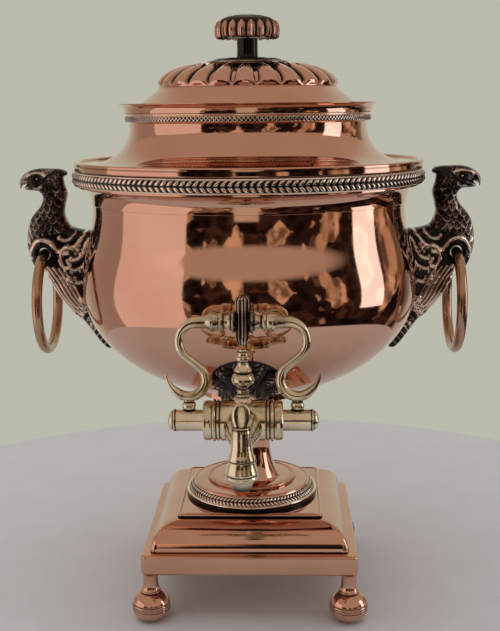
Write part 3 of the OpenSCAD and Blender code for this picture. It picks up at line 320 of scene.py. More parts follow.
class Tree:
    """The node tree of a material or a world, with short names for the nodes that are used most."""

    def __init__(self, owner):
        owner.use_nodes = True
        self.owner = owner
        self.nodes, self.links = owner.node_tree.nodes, owner.node_tree.links

    def put(self, socket, value):
        """Writes a value or a colour on the socket, or links another node's output to it."""
        if isinstance(value, bpy.types.NodeSocket):
            self.links.new(value, socket)
        elif socket.type == "RGBA":
            socket.default_value = (*value, 1)
        else:
            socket.default_value = value

    def node(self, kind, inputs, **settings):
        """A new node, from the values of its inputs by name or number, and its settings."""
        node = self.nodes.new("ShaderNode" + kind)
        for name, value in settings.items():
            setattr(node, name, value)
        for socket, value in inputs.items():
            self.put(node.inputs[socket], value)
        return node

    def surface(self, inputs):
        """Sets inputs of the Principled shader."""
        for name, value in inputs.items():
            self.put(self.nodes["Principled BSDF"].inputs[name], value)

    def noise(self, scale, detail=3.0, stretch=(1, 1, 1)):
        """Noise in the object's own coordinates. scale is in waves per metre."""
        own = self.node("TexCoord", {}).outputs["Object"]
        place = self.node("Mapping", {"Vector": own, "Scale": stretch})
        texture = self.node("TexNoise", {"Vector": place.outputs["Vector"], "Scale": scale, "Detail": detail})
        return texture.outputs["Fac"]

    def ramp(self, value, stops):
        """A colour ramp on value. stops lists (position, colour)."""
        node = self.node("ValToRGB", {"Fac": value})
        elements = node.color_ramp.elements
        while len(elements) < len(stops):
            elements.new(0.5)
        for element, (position, colour) in zip(elements, stops):
            element.position = position
            element.color = (*colour, 1)
        return node.outputs["Color"]

    def levels(self, value, low, high, to_low, to_high):
        """value moved from the range low..high to the range to_low..to_high."""
        return self.node("MapRange", {"Value": value, "From Min": low, "From Max": high,
                                      "To Min": to_low, "To Max": to_high}).outputs["Result"]

    def blend(self, factor, first, second, mode="MIX"):
        """Two colours mixed by factor."""
        # A Mix node has one set of inputs for each data type: 6 and 7 are its two colours
        colours = {0: factor, 6: first, 7: second}
        return self.node("Mix", colours, data_type="RGBA", blend_type=mode).outputs[2]

    def bump(self, value, strength, distance):
        """Fine surface relief from value."""
        node = self.node("Bump", {"Strength": strength, "Distance": distance, "Height": value})
        self.surface({"Normal": node.outputs["Normal"]})

    def hollows(self, low, colour):
        """White, and the given colour where the surface is more hollow than low."""
        return self.ramp(self.node("NewGeometry", {}).outputs["Pointiness"], [(low, colour), (0.49, WHITE)])

    def mark(self, name):
        """A value that the mesh carries at its points."""
        return self.node("Attribute", {}, attribute_name=name).outputs["Fac"]


def material(name, metallic=1.0):
    """The tree of a new material."""
    tree = Tree(bpy.data.materials.new(name))
    tree.surface({"Metallic": metallic})
    return tree


def polished_copper():
    """Old polished copper: rose, with faint warm stains, fine scratches and a slightly uneven surface."""
    tree = material("polished_copper")
    tone = tree.ramp(tree.noise(22, 4), [(0.3, (0.73, 0.44, 0.33)), (0.75, (0.65, 0.37, 0.26))])
    # Painted shade: the mesh's shade value darkens grooves, gaps and joins where shadow falls
    shaded = tree.blend(tree.mark("shade"), tone, (0.035, 0.022, 0.016))
    fine = tree.noise(160, 6, (1, 1, 3))
    tree.surface({
        "Base Color": tree.blend(1.0, shaded, tree.hollows(0.42, (0.25, 0.14, 0.1)), "MULTIPLY"),
        "Roughness": tree.levels(fine, 0.3, 0.7, 0.035, 0.09)})
    tree.bump(tree.noise(14, 1), 0.35, 0.0006)
    return tree.owner


def patina_metal(name, dark, bright, dark_rough, bright_rough, wax=0.0):
    """Cast metal with dark hollows and relief that is worn bright, under a thin coat of wax. On some pieces
    the relief value also carries painted highlights and painted shade.
    """
    tree = material(name)
    speck = tree.noise(420, 3)
    uneven = tree.levels(tree.noise(90, 5), 0.3, 0.7, -0.16, 0.16)
    total = tree.node("Math", {0: tree.mark("relief"), 1: uneven}, use_clamp=True)
    # Brightness from the relief value: worn relief, and on some pieces painted highlights
    wear_and_highlight = tree.ramp(total.outputs[0], [(0.25, (0, 0, 0)), (0.85, WHITE)])
    deep = tree.blend(speck, dark, tuple(2.2 * c for c in dark))
    tree.surface({
        "Base Color": tree.blend(wear_and_highlight, deep, bright),
        "Roughness": tree.levels(wear_and_highlight, 0, 1, dark_rough, bright_rough),
        "Coat Weight": wax, "Coat Roughness": 0.12})
    tree.bump(speck, 0.25, 0.0002)
    return tree.owner


def plain_metal(name, colour, second, rough, grain=300, depth=0.0001):
    """A metal with a fine uneven grain."""
    tree = material(name)
    grains = tree.noise(grain, 5)
    tree.surface({
        "Base Color": tree.blend(tree.noise(60, 4), colour, second),
        "Roughness": tree.levels(grains, 0.3, 0.7, 0.8 * rough, 1.25 * rough)})
    tree.bump(grains, 0.2, depth)
    return tree.owner


def tap_brass():
    """Pale brass of the tap, with painted shade in its grooves."""
    tree = material("pale_brass")
    tone = tree.ramp(tree.noise(70, 4), [
        (0.3, (0.92, 0.84, 0.64)), (0.56, (0.72, 0.64, 0.46)), (0.72, (0.34, 0.28, 0.19))])
    # Painted shade: the mesh's shade value darkens grooves and joins where shadow falls
    shaded = tree.blend(tree.mark("shade"), tone, (0.02, 0.016, 0.012))
    tree.surface({
        "Base Color": tree.blend(1.0, shaded, tree.hollows(0.41, (0.05, 0.04, 0.03)), "MULTIPLY"),
        "Roughness": tree.levels(tree.noise(260, 5), 0.3, 0.7, 0.10, 0.22)})
    tree.bump(tree.noise(120, 3), 0.15, 0.0003)
    return tree.owner


def leather():
    tree = material("leather", metallic=0.0)
    grain = tree.noise(900, 6)
    tree.surface({"Base Color": tree.blend(grain, (0.12, 0.06, 0.03), (0.22, 0.12, 0.06)), "Roughness": 0.7})
    tree.bump(grain, 0.5, 0.0003)
    return tree.owner


KNOB_METAL = patina_metal("knob_copper", (0.03, 0.018, 0.013), (0.72, 0.43, 0.32), 0.4, 0.18)
RING_COPPER = plain_metal("ring_copper", (0.58, 0.40, 0.28), (0.40, 0.24, 0.16), 0.2, 200)
SLOT_MATERIALS = {
    "polished_copper": polished_copper(),
    "dark_bronze": patina_metal("dark_bronze", (0.010, 0.007, 0.006), (0.95, 0.78, 0.66), 0.26, 0.12, 0.35),
    "pale_brass": tap_brass(),
    "steel": plain_metal("steel", (0.55, 0.54, 0.52), (0.42, 0.41, 0.40), 0.35),
    "cast_iron": plain_metal("cast_iron", (0.05, 0.045, 0.04), (0.09, 0.07, 0.06), 0.65, 220, 0.0006),
    "leather": leather(),
}


# ---- Pieces ----

RECORD = frame["record"]
SLOT_OF = {part["node"]: part["material_slot"] for part in RECORD["subparts"]}
BODY_OF = {node: body for body, nodes in RECORD["behaviour"]["bodies"].items() for node in nodes}


def dress_cad_nodes():
    """Gives every CAD node the material of its slot."""
    for node, slot in SLOT_OF.items():
        mesh = frame["nodes"][node].data
        mesh.materials.clear()
        mesh.materials.append(SLOT_MATERIALS[slot])


SHEET = 1.6         # thickness of the sheet metal
ROD_HOLE = 3.2      # radius of the hole for the tie rod


def piece(node, mesh, look=None, sharp=35):
    """Makes the detailed form of a CAD node. Its mesh says where bronze is bright, from worn relief and
    painted highlights, and where other metal gets painted shade.
    """
    verts, faces, relief = mesh
    slot = SLOT_OF[node]
    result = smooth_object(node + "_detail", verts, faces, look or SLOT_MATERIALS[slot], sharp)
    if relief is not None:
        # Bronze reads its brightness from the relief value; other metal reads painted shade from the shade
        # value
        mark = "relief" if slot == "dark_bronze" else "shade"
        values = result.data.attributes.new(mark, "FLOAT", "POINT")
        values.data.foreach_set("value", np.asarray(relief, np.float32).ravel())
    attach(result, BODY_OF[node])
    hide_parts(node)


def grooved(outline, grooves, outside):
    """Cuts soft grooves of (height, depth, width) into an outline where its radius is more than outside."""
    result = []
    for r, z in outline:
        if r > outside:
            r -= sum(depth * math.exp(-((z - height) / width) ** 2) for height, depth, width in grooves)
        result.append((r, z))
    return result


def seed_row(spot, middle, half, repeats, lean):
    """Slanted seeds in a row round a band: how far each point stands up, from 0 to 1."""
    across = (spot.along - middle) / half
    around = from_middle(spot.angle * repeats / TAU + lean * across)
    return np.sqrt(unit(1 - (around / 0.72) ** 2)) * unit(1 - np.abs(across) ** 3)


def dark_bands(*bands):
    """Leaves a turned piece smooth and paints shade on it round the given heights, each with its width: dark
    lines where grooves and joins would be in shadow.
    """
    def bump(spot):
        height = spot.z + 0 * spot.angle
        shade = sum(bell(height, middle, width) for middle, width in bands)
        return 0 * height, unit(shade)
    return bump


def herringbone(start, end, repeats, height, lean=0.34, bright_from=0.0):
    """Two rows of seeds that slant opposite ways, between the distances start and end along an outline. The
    metal past them is bright, except before the distance bright_from, where it is left dark as painted shade."""
    half = (end - start) / 4

    def bump(spot):
        rows = (seed_row(spot, start + half, 0.94 * half, repeats, lean)
                + seed_row(spot, end - half, 0.94 * half, repeats, -lean))
        inside = (spot.along > start) & (spot.along < end)
        edge = np.where(inside, rows, 0.0)
        plain = np.where(inside | (spot.along < bright_from), 0.0, 0.9)
        return height * edge, unit(edge + plain)
    return bump


# -- Feet and base --

def make_feet():
    front = span("foot_front_left")
    ball_r, top = front.w / 2, front.h
    ball_h = 21.6
    neck_r, flared_r = 5.2, 7.3
    ball = arc(ball_r - ball_h / 2, ball_h / 2, ball_h / 2, ball_h / 2, -90, 70, 90)
    grooves = [(9.4, 0.4, 0.35), (11.3, 0.28, 0.25), (13.1, 0.45, 0.35)]
    ball = grooved(ball, grooves, 0.9 * ball_r)
    # Painted shade in the ball's grooves and round the foot of the neck
    darkened = dark_bands(*[(height, width) for height, _, width in grooves], (21.1, 0.5))
    neck = ([(6.9, 21.0), (6.8, 21.3), (flared_r, 21.5), (flared_r + 0.1, 21.9), (flared_r, 22.3)]
            + arc(flared_r, 29.5, flared_r - neck_r, 7.1, 268, 180, 14)
            + [(neck_r, 31), (neck_r + 0.2, 33), (neck_r + 0.7, top), (0, top)])
    mesh = turned_mesh([(0, 0)] + ball + neck, MEDIUM, darkened)
    for name in ("foot_front_left", "foot_front_right", "foot_back_left", "foot_back_right"):
        x, y, _ = span(name).middle
        piece(name, moved(mesh, at(x, y)))


BASE_HOLE = 12      # half width of the opening in the middle of the three square pieces


def make_slab():
    half, z0, z1 = reach("base_slab")
    edge = 2.5
    outline = (arc(half - edge, z0 + edge, edge, edge, -69, 0, 8)
               + arc(half - edge + 0.7, z1 - edge + 0.7, edge - 0.7, edge - 0.7, 0, 90, 8)
               + [(half - 20, z1), (BASE_HOLE, z1), (BASE_HOLE, z1 - SHEET), (half - SHEET, z1 - SHEET)])
    piece("base_slab", square_mesh(outline, 3.6))


def make_cushion():
    half, z0, z1 = reach("base_cushion")
    big = span("base_cushion").h
    inner = big - SHEET
    outline = ([(half - SHEET, z0), (half - 0.3, z0), (half, z0 + 0.3)]
               + arc(half - big, z0, big, big, 3, 90, 30)
               + [(half - big - 15, z1), (BASE_HOLE, z1), (BASE_HOLE, z1 - SHEET)]
               + arc(half - big, z0, inner, inner, 90, 0, 12)[:-1])

    # Painted shade: a dark line along the bottom edge, in the gap where the cushion meets the slab
    def gap_shade(_, height):
        return float(height < z0 + 0.5)

    piece("base_cushion", square_mesh(outline, 4, gap_shade))


def make_platform():
    platform = span("platform")
    half, z0, z1, bead = platform.r, platform.z0, platform.z1, platform.h / 2
    outline = ([(BASE_HOLE, z0)] + arc(half - bead, z0 + bead, bead, bead, -90, 90, 12)
               + near(half - bead, z1, (-0.6, 0), (-0.9, -0.45), (-1.3, -0.5), (-1.8, -0.2), (-3, -0.15))
               + [(BASE_HOLE, z1 - 0.15)])
    # Painted shade: the lower part of the bead, where it meets the cushion, is dark
    dark_below = z0 + 0.6 * platform.h

    def dark(at_half, height):
        return 1.0 if at_half > half - bead and height < dark_below else 0.0

    piece("platform", square_mesh(outline, 4, dark))


# -- Pedestal --

def make_pedestal_ring():
    r, z0, z1 = reach("pedestal_ring")
    inner = r - 12
    below = ([(inner, z0)] + near(r, z0, (-0.7, 0), (-0.1, 0.3), (0, 1.2), (-0.4, 1.7), (-1, 1.9))
             + arc(r - 1.2, z0 + 2.8, 1.0, 1.0, -60, 110, 10) + [(r - 1.9, z0 + 3.7)])
    low, high = np.array(below[-1]), np.array([r - 5.5, z1 - 0.6])
    rows = 18
    band = [tuple(low + (high - low) * i / rows) for i in range(1, rows + 1)]
    start = side_lengths(below).sum()
    # The bronze below the bead is left dark as painted shade
    pattern = herringbone(start, start + math.dist(low, high), 100, 0.55, bright_from=start - 2.2)
    outline = below + band + [(r - 5.8, z1 - 0.5), (r - 6.1, z1), (inner, z1)]
    piece("pedestal_ring", turned_mesh(outline, 800, pattern))


def make_pedestal_disc():
    r, z0, z1 = reach("pedestal_disc")
    step, step_low = 32.7, z1 - 1.6
    outline = ([(step - SHEET, step_low - 0.4), (r - SHEET, z0), (r, z0), (r + 0.05, z0 + 0.3)]
               + arc(r - 0.6, z0 + 0.4, 0.6, 0.6, 10, 150, 8)
               + near(r, z0, (-1.4, 0.55), (-1.8, 0.75), (-2.4, 0.85))
               + near(step, step_low, (0.8, 0.05), (0.4, -0.1), (0, 0.2))
               + arc(step - 0.5, z1 - 0.6, 0.6, 0.6, 0, 120, 8) + near(step, z1, (-1.1, -0.45), (-1.5, -0.4))
               + arc(step - 2.1, z1 - 0.5, 0.5, 0.5, 30, 150, 6)
               + near(step, z1, (-2.9, -0.35), (-3.6, -0.05), (-8, 0))
               + [(ROD_HOLE, z1), (ROD_HOLE, z1 - SHEET), (step - SHEET, z1 - SHEET)])
    piece("pedestal_disc", turned_mesh(outline))


def make_stem():
    stem = span("stem")
    z0, height, waist_h, waist_r, end_r, wall = stem.z0, stem.h, 28, 14, stem.r, 2.4

    def stem_r(h):
        s = (h - waist_h) / (height - waist_h) if h > waist_h else 1 - h / waist_h
        return waist_r + (end_r - waist_r) * s ** 2.4

    outside = [(stem_r(h), z0 + h) for h in np.linspace(0.9, height - 0.9, 60)]
    inside = [(stem_r(h) - wall, z0 + h) for h in np.linspace(height - wall, 0, 30)]
    outline = ([(end_r - 0.2, z0), (end_r, z0 + 0.3)] + outside
               + [(end_r, z0 + height - 0.3), (end_r - 0.2, z0 + height), (ROD_HOLE, z0 + height),
                  (ROD_HOLE, z0 + height - wall)] + inside)
    piece("stem", turned_mesh(outline, MEDIUM))


def make_stem_cup():
    r, z0, z1 = reach("stem_cup")
    bead = 2.1
    outline = ([(ROD_HOLE, z0), (r - 2.6, z0), (r - 2.2, z0 + 0.4)]
               + arc(r - 2.6, z0 + 2, 0.9, 1.4, -60, 60, 8)
               + [(r - 2.4, z1 - 2 * bead)] + arc(r - bead, z1 - bead, bead, bead, -80, 90, 14)
               + [(ROD_HOLE, z1)])
    piece("stem_cup", turned_mesh(outline, MEDIUM))


# -- Bowl, rim and neck --

BELLY_R = span("bowl").r
WAIST_R = 111.9
WAIST_Z = 288.0
BELLY_Z = 232.0
BELLY_DROP = 81.3   # height of the belly above the bottom of the bowl
WALL_TOP = 317.4


def bowl_radius(z, inset=0.0):
    """Radius of the bowl's outside at height z, moved inwards by inset."""
    if z < BELLY_Z:
        share = (BELLY_Z - z) / (BELLY_DROP - inset)
        return (BELLY_R - inset) * math.sqrt(max(0.0, 1 - share * share))
    share = min(1.0, (z - BELLY_Z) / (WAIST_Z - BELLY_Z))
    return WAIST_R - inset + (BELLY_R - WAIST_R) * (1 + math.cos(math.pi * share)) / 2


def bowl_outline(inset, steps):
    lower = arc(0, BELLY_Z, BELLY_R - inset, BELLY_DROP - inset, -88.4, 0, steps)
    upper = [(bowl_radius(z, inset), z) for z in np.linspace(BELLY_Z, WAIST_Z, steps // 2 + 1)[1:]]
    return lower + upper + [(WAIST_R - inset, 303), (WAIST_R - inset, WALL_TOP)]


def make_bowl():
    piece("bowl", turned_mesh(bowl_outline(0, 64) + bowl_outline(SHEET, 24)[::-1]))


RIM_IN = WAIST_R + 0.05     # inner radius of the moulding and the band that hold the bowl's rim


def make_rim_moulding():
    r, z0, z1 = reach("rim_moulding")
    foot = RIM_IN + 0.7
    outline = ([(RIM_IN, z1), (RIM_IN, z0), (foot - 0.2, z0), (foot, z0 + 0.2)]
               + arc(r, z0, r - foot, z1 - z0 - 1.5, 178, 92, 24)
               + near(r, z1, (-0.3, -1.45), (0, -1.2), (0, -0.3), (-0.3, 0)))
    piece("rim_moulding", turned_mesh(outline))


def make_rim_band():
    r, z0, z1 = reach("rim_band")
    below = [(RIM_IN, z0)] + near(r, z0, (-2.4, 0), (-1.2, 0.2), (-0.95, 0.55))
    face = [(r - 0.75 - 0.55 * abs(2 * (z - z0) / (z1 - z0) - 1) ** 2, z)
            for z in np.linspace(z0 + 0.9, z1 - 0.9, 20)]
    above = near(r, z1, (-0.95, -0.55), (-1.2, -0.2), (-2.2, 0)) + [(RIM_IN, z1)]
    start, length = side_lengths(below + face[:1]).sum(), side_lengths(face).sum()
    piece("rim_band", turned_mesh(below + face + above, 1260, herringbone(start, start + length, 180, 0.75)))


def make_rim_lip():
    r, z0, z1 = reach("rim_lip")
    width = 4.5
    outline = (near(r, z0, (-width, 0), (-0.9, 0), (-0.4, 0.3), (-0.05, 0.9)) + [(r - 0.15, z1 - 2.2)]
               + arc(r - 1.15, z1 - 1.1, 1.1, 1.1, -10, 90, 10)
               + [(r - width + 0.8, z1), (r - width, z1 - 0.8)])
    # Painted shade where the lip meets the band, and in a groove under its top
    lines = dark_bands((z0, 0.9), (z1 - 2.4, 0.35))
    piece("rim_lip", turned_mesh(dense(outline, 0.6), FINE, lines))


def lattice(start, end, repeats, height):
    """A net of two sets of slanting lines on a band."""
    def bump(spot):
        share = (spot.along - start) / (end - start)
        inside = (share > 0) & (share < 1)
        lines = 0
        for lean in (-1, 1):
            turn = spot.angle * repeats / TAU + lean * share * 1.5
            lines = np.maximum(lines, unit(1 - from_middle(turn) / 0.42))
        net = np.where(inside, lines, 0.0)
        return height * net, np.where(inside, unit(1.3 * net), 0.95)
    return bump


NECK_R = 84.3
NECK_Z = 344.4      # top of the shoulder, where the neck begins


def make_shoulder():
    skirt, z0, _ = reach("shoulder")
    cove_r, cove_x = 25.4, 109.7
    outline = ([(skirt, z0), (skirt, z0 + SHEET)] + arc(cove_x, NECK_Z, cove_r, cove_r, 270, 180, 36)
               + arc(cove_x, NECK_Z, cove_r + SHEET, cove_r + SHEET, 180, 270, 24))
    piece("shoulder", turned_mesh(outline))


def make_neck_rim():
    tip_r, _, tip_z = reach("neck_rim")
    flare_z, seat_z = 352.8, 354.4
    root, inner_tip = NECK_R + 3.4, tip_r - 1
    outline = ([(NECK_R - SHEET, seat_z), (NECK_R - SHEET, NECK_Z), (NECK_R, NECK_Z)]
               + [(NECK_R, flare_z), (root, flare_z)]
               + arc(tip_r - 0.2, flare_z, tip_r - 0.2 - root, tip_z - flare_z - 0.7, 176, 92, 12)
               + arc(tip_r - 0.45, tip_z - 0.45, 0.45, 0.45, -60, 120, 8)
               + arc(inner_tip, seat_z, inner_tip - NECK_R - 0.8, tip_z - seat_z - 0.2, 96, 180, 10))
    piece("neck_rim", turned_mesh(outline))


def make_neck_band():
    r, z0, z1 = reach("neck_band")
    inner = NECK_R + 0.05
    below = [(inner, z0)] + near(r, z0, (-1.6, 0), (-1.1, 0.3), (-0.7, 0.8))
    face = [(r - 0.7 + 0.3 * math.sin(math.pi * s), z0 + 0.8 + 4.0 * s) for s in np.linspace(0, 1, 12)]
    above = ([(r - 1.0, z1 - 1.75)] + arc(r - 0.6, z1 - 0.85, 0.6, 0.65, -80, 80, 8)
             + [(r - 1.0, z1), (inner, z1)])
    start, length = side_lengths(below).sum(), side_lengths(face).sum()
    piece("neck_band", turned_mesh(below + face + above, 1140, lattice(start, start + length, 190, 0.42)))


# -- Lid and knob --

LOBES = 24
PETALS = 20
STUD_HOLE = 2.6     # radius of the hole for the knob's stud


def make_lid():
    foot_r, z0, top_z = reach("lid")
    foot_in = 80.5
    dome_r, flat_r, dome_z, dome_h = 63.0, 31.0, 370.3, 14.5

    def cove(top_r, low_r, drop, steps):
        share = np.linspace(0, 1, steps)
        return [(top_r + (low_r - top_r) * s, z0 + SHEET + (13.4 - drop) * (1 - s) ** 1.35) for s in share]

    foot = ([(foot_in, z0)] + near(foot_r, z0, (-0.3, 0), (0, 0.3), (0, 1.3))
            + cove(dome_r + 0.5, foot_r - 0.3, 0, 16)[::-1])
    dome = arc(flat_r, dome_z, dome_r - flat_r, dome_h, 0, 90, 44)
    inside = ([(STUD_HOLE, top_z), (STUD_HOLE, top_z - SHEET)] + arc(flat_r, dome_z, 30.4, 12.9, 90, 0, 16)
              + cove(dome_r - 0.8, foot_in, 1.2, 8))
    first, last = len(foot), len(foot) + len(dome)

    def lobes(spot):
        # Each lobe is a pillow with straight sides that ends in a round top
        index = np.arange(len(spot.along))[:, None]
        on_dome = (index >= first) & (index < last)
        begin, end = spot.along[first, 0], spot.along[last - 1, 0]
        share = unit((spot.along - begin) / (end - begin))
        side = from_middle((spot.angle + TAU / 4) * LOBES / TAU + 0.5)
        straight = 0.95 - 0.30 * share
        top = np.sqrt(unit(1 - (unit(share - 0.50) / 0.27) ** 2))
        half = np.maximum(straight * top, 1e-3)
        inside_lobe = unit(1 - (side / half) ** 2)
        pillow = inside_lobe ** 0.30
        depth = 2.7 * between(share, 0.015, 0.16)
        swell = 1.7 * between(share, 0.0, 0.10)
        shift = np.where(on_dome, -depth * (1 - pillow) + swell * inside_lobe ** 0.45, 0.0)
        # Painted shade in the grooves between the lobes
        shade = between(1 - pillow, 0.15, 0.45) * between(share, 0.03, 0.12)
        return shift, np.where(on_dome, shade, 0.0)

    piece("lid", turned_mesh(foot + dome + inside, 30 * LOBES, lobes), sharp=60)


def make_lid_bezel():
    r, z0, z1 = reach("lid_bezel")
    piece("lid_bezel", turned_mesh(soft([(r - SHEET, z0), (r, z0), (r, z1), (r - SHEET, z1)])))


def make_lid_disc():
    r, z0, z1 = reach("lid_disc")
    outline = ([(STUD_HOLE, z0), (r - 2, z0), (r - 0.6, z0 + 1.2)]
               + arc(r - 0.8, z0 + 2.3, 0.8, 1.1, -60, 80, 8)
               + near(r, z0, (-2.2, 3.5), (-4, 3.6), (-4.4, 3.7), (-4.3, 4.6), (-4.9, 5.3), (-6.4, 5.8))
               + [(r - 9, z1), (STUD_HOLE, z1)])

    def leafy(spot):
        above = between(spot.z, z0 + 3.5, z0 + 4.4) * between(spot.r, 11, 20)
        turn = spot.angle * 12 / TAU
        wave = np.abs(np.cos(math.pi * turn)) ** 0.6
        vein = 1 - unit(from_middle(turn) / 0.12)
        rim = between(spot.r, r - 2.4, r - 1.4)
        shift = above * (0.9 * wave - 1.5 - 0.25 * vein)
        # The rim edge is painted bright as a highlight; the raised leaf tops are worn bright
        return shift, unit(0.28 * above * wave + 0.4 * rim)

    piece("lid_disc", turned_mesh(dense(outline, 0.8), 288, leafy), sharp=50)


def make_knob_stem():
    r, z0, z1 = reach("knob_stem")
    outline = ([(STUD_HOLE, z0)] + near(r, z0, (0, 0), (0, 0.5), (-0.25, 1.2), (-0.35, 6))
               + near(r, z1, (-0.3, -0.4), (0, 0)) + [(STUD_HOLE, z1)])
    piece("knob_stem", turned_mesh(dense(outline, 2), MEDIUM))


def make_knob():
    r, z0, z1 = reach("knob")
    wide = z0 + 6.6
    under = [(0, z0 + 1.2), (r * 0.35, z0 + 1.1), (r * 0.7, z0 + 0.9), (r * 0.84, z0 + 0.2), (r * 0.9, z0)]
    skirt = [(r * 0.955, z0 + 0.5), (r * 0.985, z0 + 1.8), (r, z0 + 4), (r, wide), (r * 0.985, wide + 2.2),
             (r * 0.95, wide + 3.9), (r * 0.89, wide + 5.2)]
    crown = arc(0, wide + 4.4, r * 0.86, z1 - wide - 4.4, 12, 90, 16)[:-1] + [(0, z1)]
    outline = dense(under + skirt + crown, 0.7, closed=False)

    def petals(spot):
        # Petals with a ridge down their middle round the side, and fine rays on the crown
        on_skirt = between(spot.r, r * 0.55, r * 0.84) * (1 - between(spot.z, wide + 4.2, wide + 6.4))
        turn = (spot.angle + TAU / 4) * PETALS / TAU
        side = from_middle(turn)
        top = np.sqrt(unit(1 - (np.clip(spot.z - wide - 0.5, 0, None) / 5.2) ** 2))
        half = np.maximum(0.86 * np.where(spot.z > wide + 0.5, top, 1.0), 1e-3)
        body = unit(1 - (side / half) ** 2)
        ridge = unit(1 - side / 0.13)
        groove = unit(1 - np.abs(side - 0.30) / 0.16)
        shift = on_skirt * (-1.7 * (1 - body ** 0.4) + 0.25 * ridge - 0.3 * groove)
        rays = 0.5 + 0.5 * np.cos(TAU * turn * 2)
        crown_part = between(spot.z, wide + 5, wide + 6.4) * between(spot.r, 1.5, 5)
        shift = shift - 0.3 * crown_part * rays
        relief = on_skirt * unit(body ** 0.5 - 0.45 * groove) * 0.95 + 0.22 * crown_part * (1 - rays)
        return shift, unit(relief)

    piece("knob", turned_mesh(outline, 16 * PETALS, petals), KNOB_METAL, sharp=50)


# -- Rings --

def make_rings():
    for side, name in ((-1, "ring_left"), (1, "ring_right")):
        box = span(name)
        x, _, z = box.middle
        wire = box.w / 2
        mesh = turned_mesh(arc(box.d / 2 - wire, 0, wire, wire, -180, 180, 32)[:-1])
        piece(name, moved(mesh, along_x(side), at(x, 0, z)), RING_COPPER)


# -- Tap --

TAP_SLOPE = math.radians(11)
BALL_X = 33.0
BAR_END, BAR_Z = 18.0, 61.2     # half length of the yoke's cross-bar, and its height above the barrel's axis


def make_tap():
    _, ground, axis_z = span("tap_plug").middle
    here = at(0, ground, axis_z)
    slope = Matrix.Rotation(TAP_SLOPE - math.pi / 2, 4, "X")
    pipe_way = placed(Matrix.Translation((0, ground, axis_z)) @ slope)
    make_barrel(here, pipe_way)
    make_glands(here)
    make_peg_caps(here)
    make_yoke_balls(here)
    make_yoke_scrolls(here)
    make_yoke_bar(here)
    make_grip(here, axis_z)
    make_finial(here)
    make_spout(axis_z)
    make_flange(pipe_way)


def make_barrel(here, pipe_way):
    """The barrel, from its middle to both ends, with the pipe's socket and the fluted neck of the spout."""
    bore, body_r, end_x = 8.55, 12.4, 18.5
    half = (near(body_r, 0, (0, 0), (0, 12), (0, 13.3), (-0.7, 13.9), (-0.7, 14.2), (0, 14.7), (0.1, 15.7),
                 (-0.6, 16.1), (-0.6, 16.4), (0.1, 16.8))
            + arc(body_r - 0.2, 17.6, 0.8, 0.8, -60, 70, 8) + [(body_r - 0.2, end_x)])
    outline = [(bore, -end_x)] + [(r, -x) for r, x in half[::-1]] + half[1:] + [(bore, end_x)]
    # Painted shade along the barrel's grooves and steps
    grooves = ((14.05, 0.25), (16.25, 0.25), (11.6, 0.15))
    lines = dark_bands(*[(side * x, width) for side in (-1, 1) for x, width in grooves])
    barrel = turned_mesh(dense(outline, 0.7), 96, lines)
    socket = turned_mesh(soft([(7.1, 9), (9, 9), (8.8, 13.5), (9.4, 14.5), (9.4, 16), (8.6, 17), (8.8, 19.4),
                               (8.2, 20.4), (7.1, 20.4)], 0.3), 96)

    def shell(spot):
        # Flutes like a shell's, deepest where the neck leaves the barrel
        share = between(spot.z, -36, -12)
        wave = np.abs(np.sin(7 * spot.angle)) ** 0.7
        return (0.25 + 0.9 * (1 - share)) * (wave - 1), 0.7 * (1 - wave) * (spot.z < -9)

    neck = turned_mesh(dense([
        (0, -35.6), (5.5, -35.6), (6.2, -34), (6.6, -30), (7.6, -26), (9.2, -22), (10.8, -17), (11.6, -12),
        (11.6, -8.5), (0, -8.5)], 1.0, closed=False), 168, shell)
    sloping = moved(joined(socket, neck), pipe_way)
    piece("tap_barrel", joined(moved(barrel, along_x(), here), sloping))


def make_glands(here):
    ring = [(6.45, 18.5), (11.6, 18.5), (11.4, 18.9), (11.9, 19.4), (12.1, 20.3), (12.1, 22.6), (11.8, 23.6),
            (11.1, 24.2), (10.2, 24.3), (9.6, 24.0), (8.6, 24.0), (8.0, 24.3), (6.45, 24.3)]
    # Painted shade where each gland ring meets the barrel and in its groove
    mesh = turned_mesh(dense(soft(ring, 0.25), 0.7), 96, dark_bands((18.8, 0.25), (22.9, 0.15)))
    piece("gland_rings", moved(both_sides(mesh, along_x), here))


def make_peg_caps(here):
    peg_r, cap_at, cap_l = 6.4, 41.3, 5.0
    cap = ([(0, cap_at - 1), (peg_r - 0.3, cap_at - 1), (peg_r + 0.3, cap_at)]
           + arc(peg_r, cap_at + 0.7, 0.5, 0.6, -60, 80, 6) + [(peg_r - 0.5, cap_at + 1.5)]
           + arc(0, cap_at + 1.4, peg_r - 0.4, cap_l - 1.4, 0, 90, 12)[:-1] + [(0, cap_at + cap_l)])
    # Painted shade at the cap's foot and behind its rim
    mesh = turned_mesh(cap, 64, dark_bands((cap_at, 0.5), (cap_at + 1.6, 0.4)))
    piece("peg_caps", moved(both_sides(mesh, along_x), here))


def make_yoke_balls(here):
    """Balls, each between two small collars."""
    ball_z, ball_r = 9.1, 4.2
    low, high = ball_z - ball_r, ball_z + ball_r
    ball = (near(0, low, (0, -1), (4.4, 0.6), (4.5, 1.4), (3.1, 1.9), (2.6, 2.2))
            + arc(0, ball_z + 0.1, ball_r, ball_r * 0.9, -42, 46, 16)
            + near(0, high, (2.7, -1.4), (3.3, -1.0), (3.3, -0.3), (2.4, 0), (0, 0)))
    # Painted shade where each ball meets its collars
    mesh = turned_mesh(ball, 64, dark_bands((low + 2, 0.8), (high - 1.5, 0.6)))
    piece("yoke_balls", moved(both_sides(mesh, lambda side: at(side * BALL_X, 0)), here))


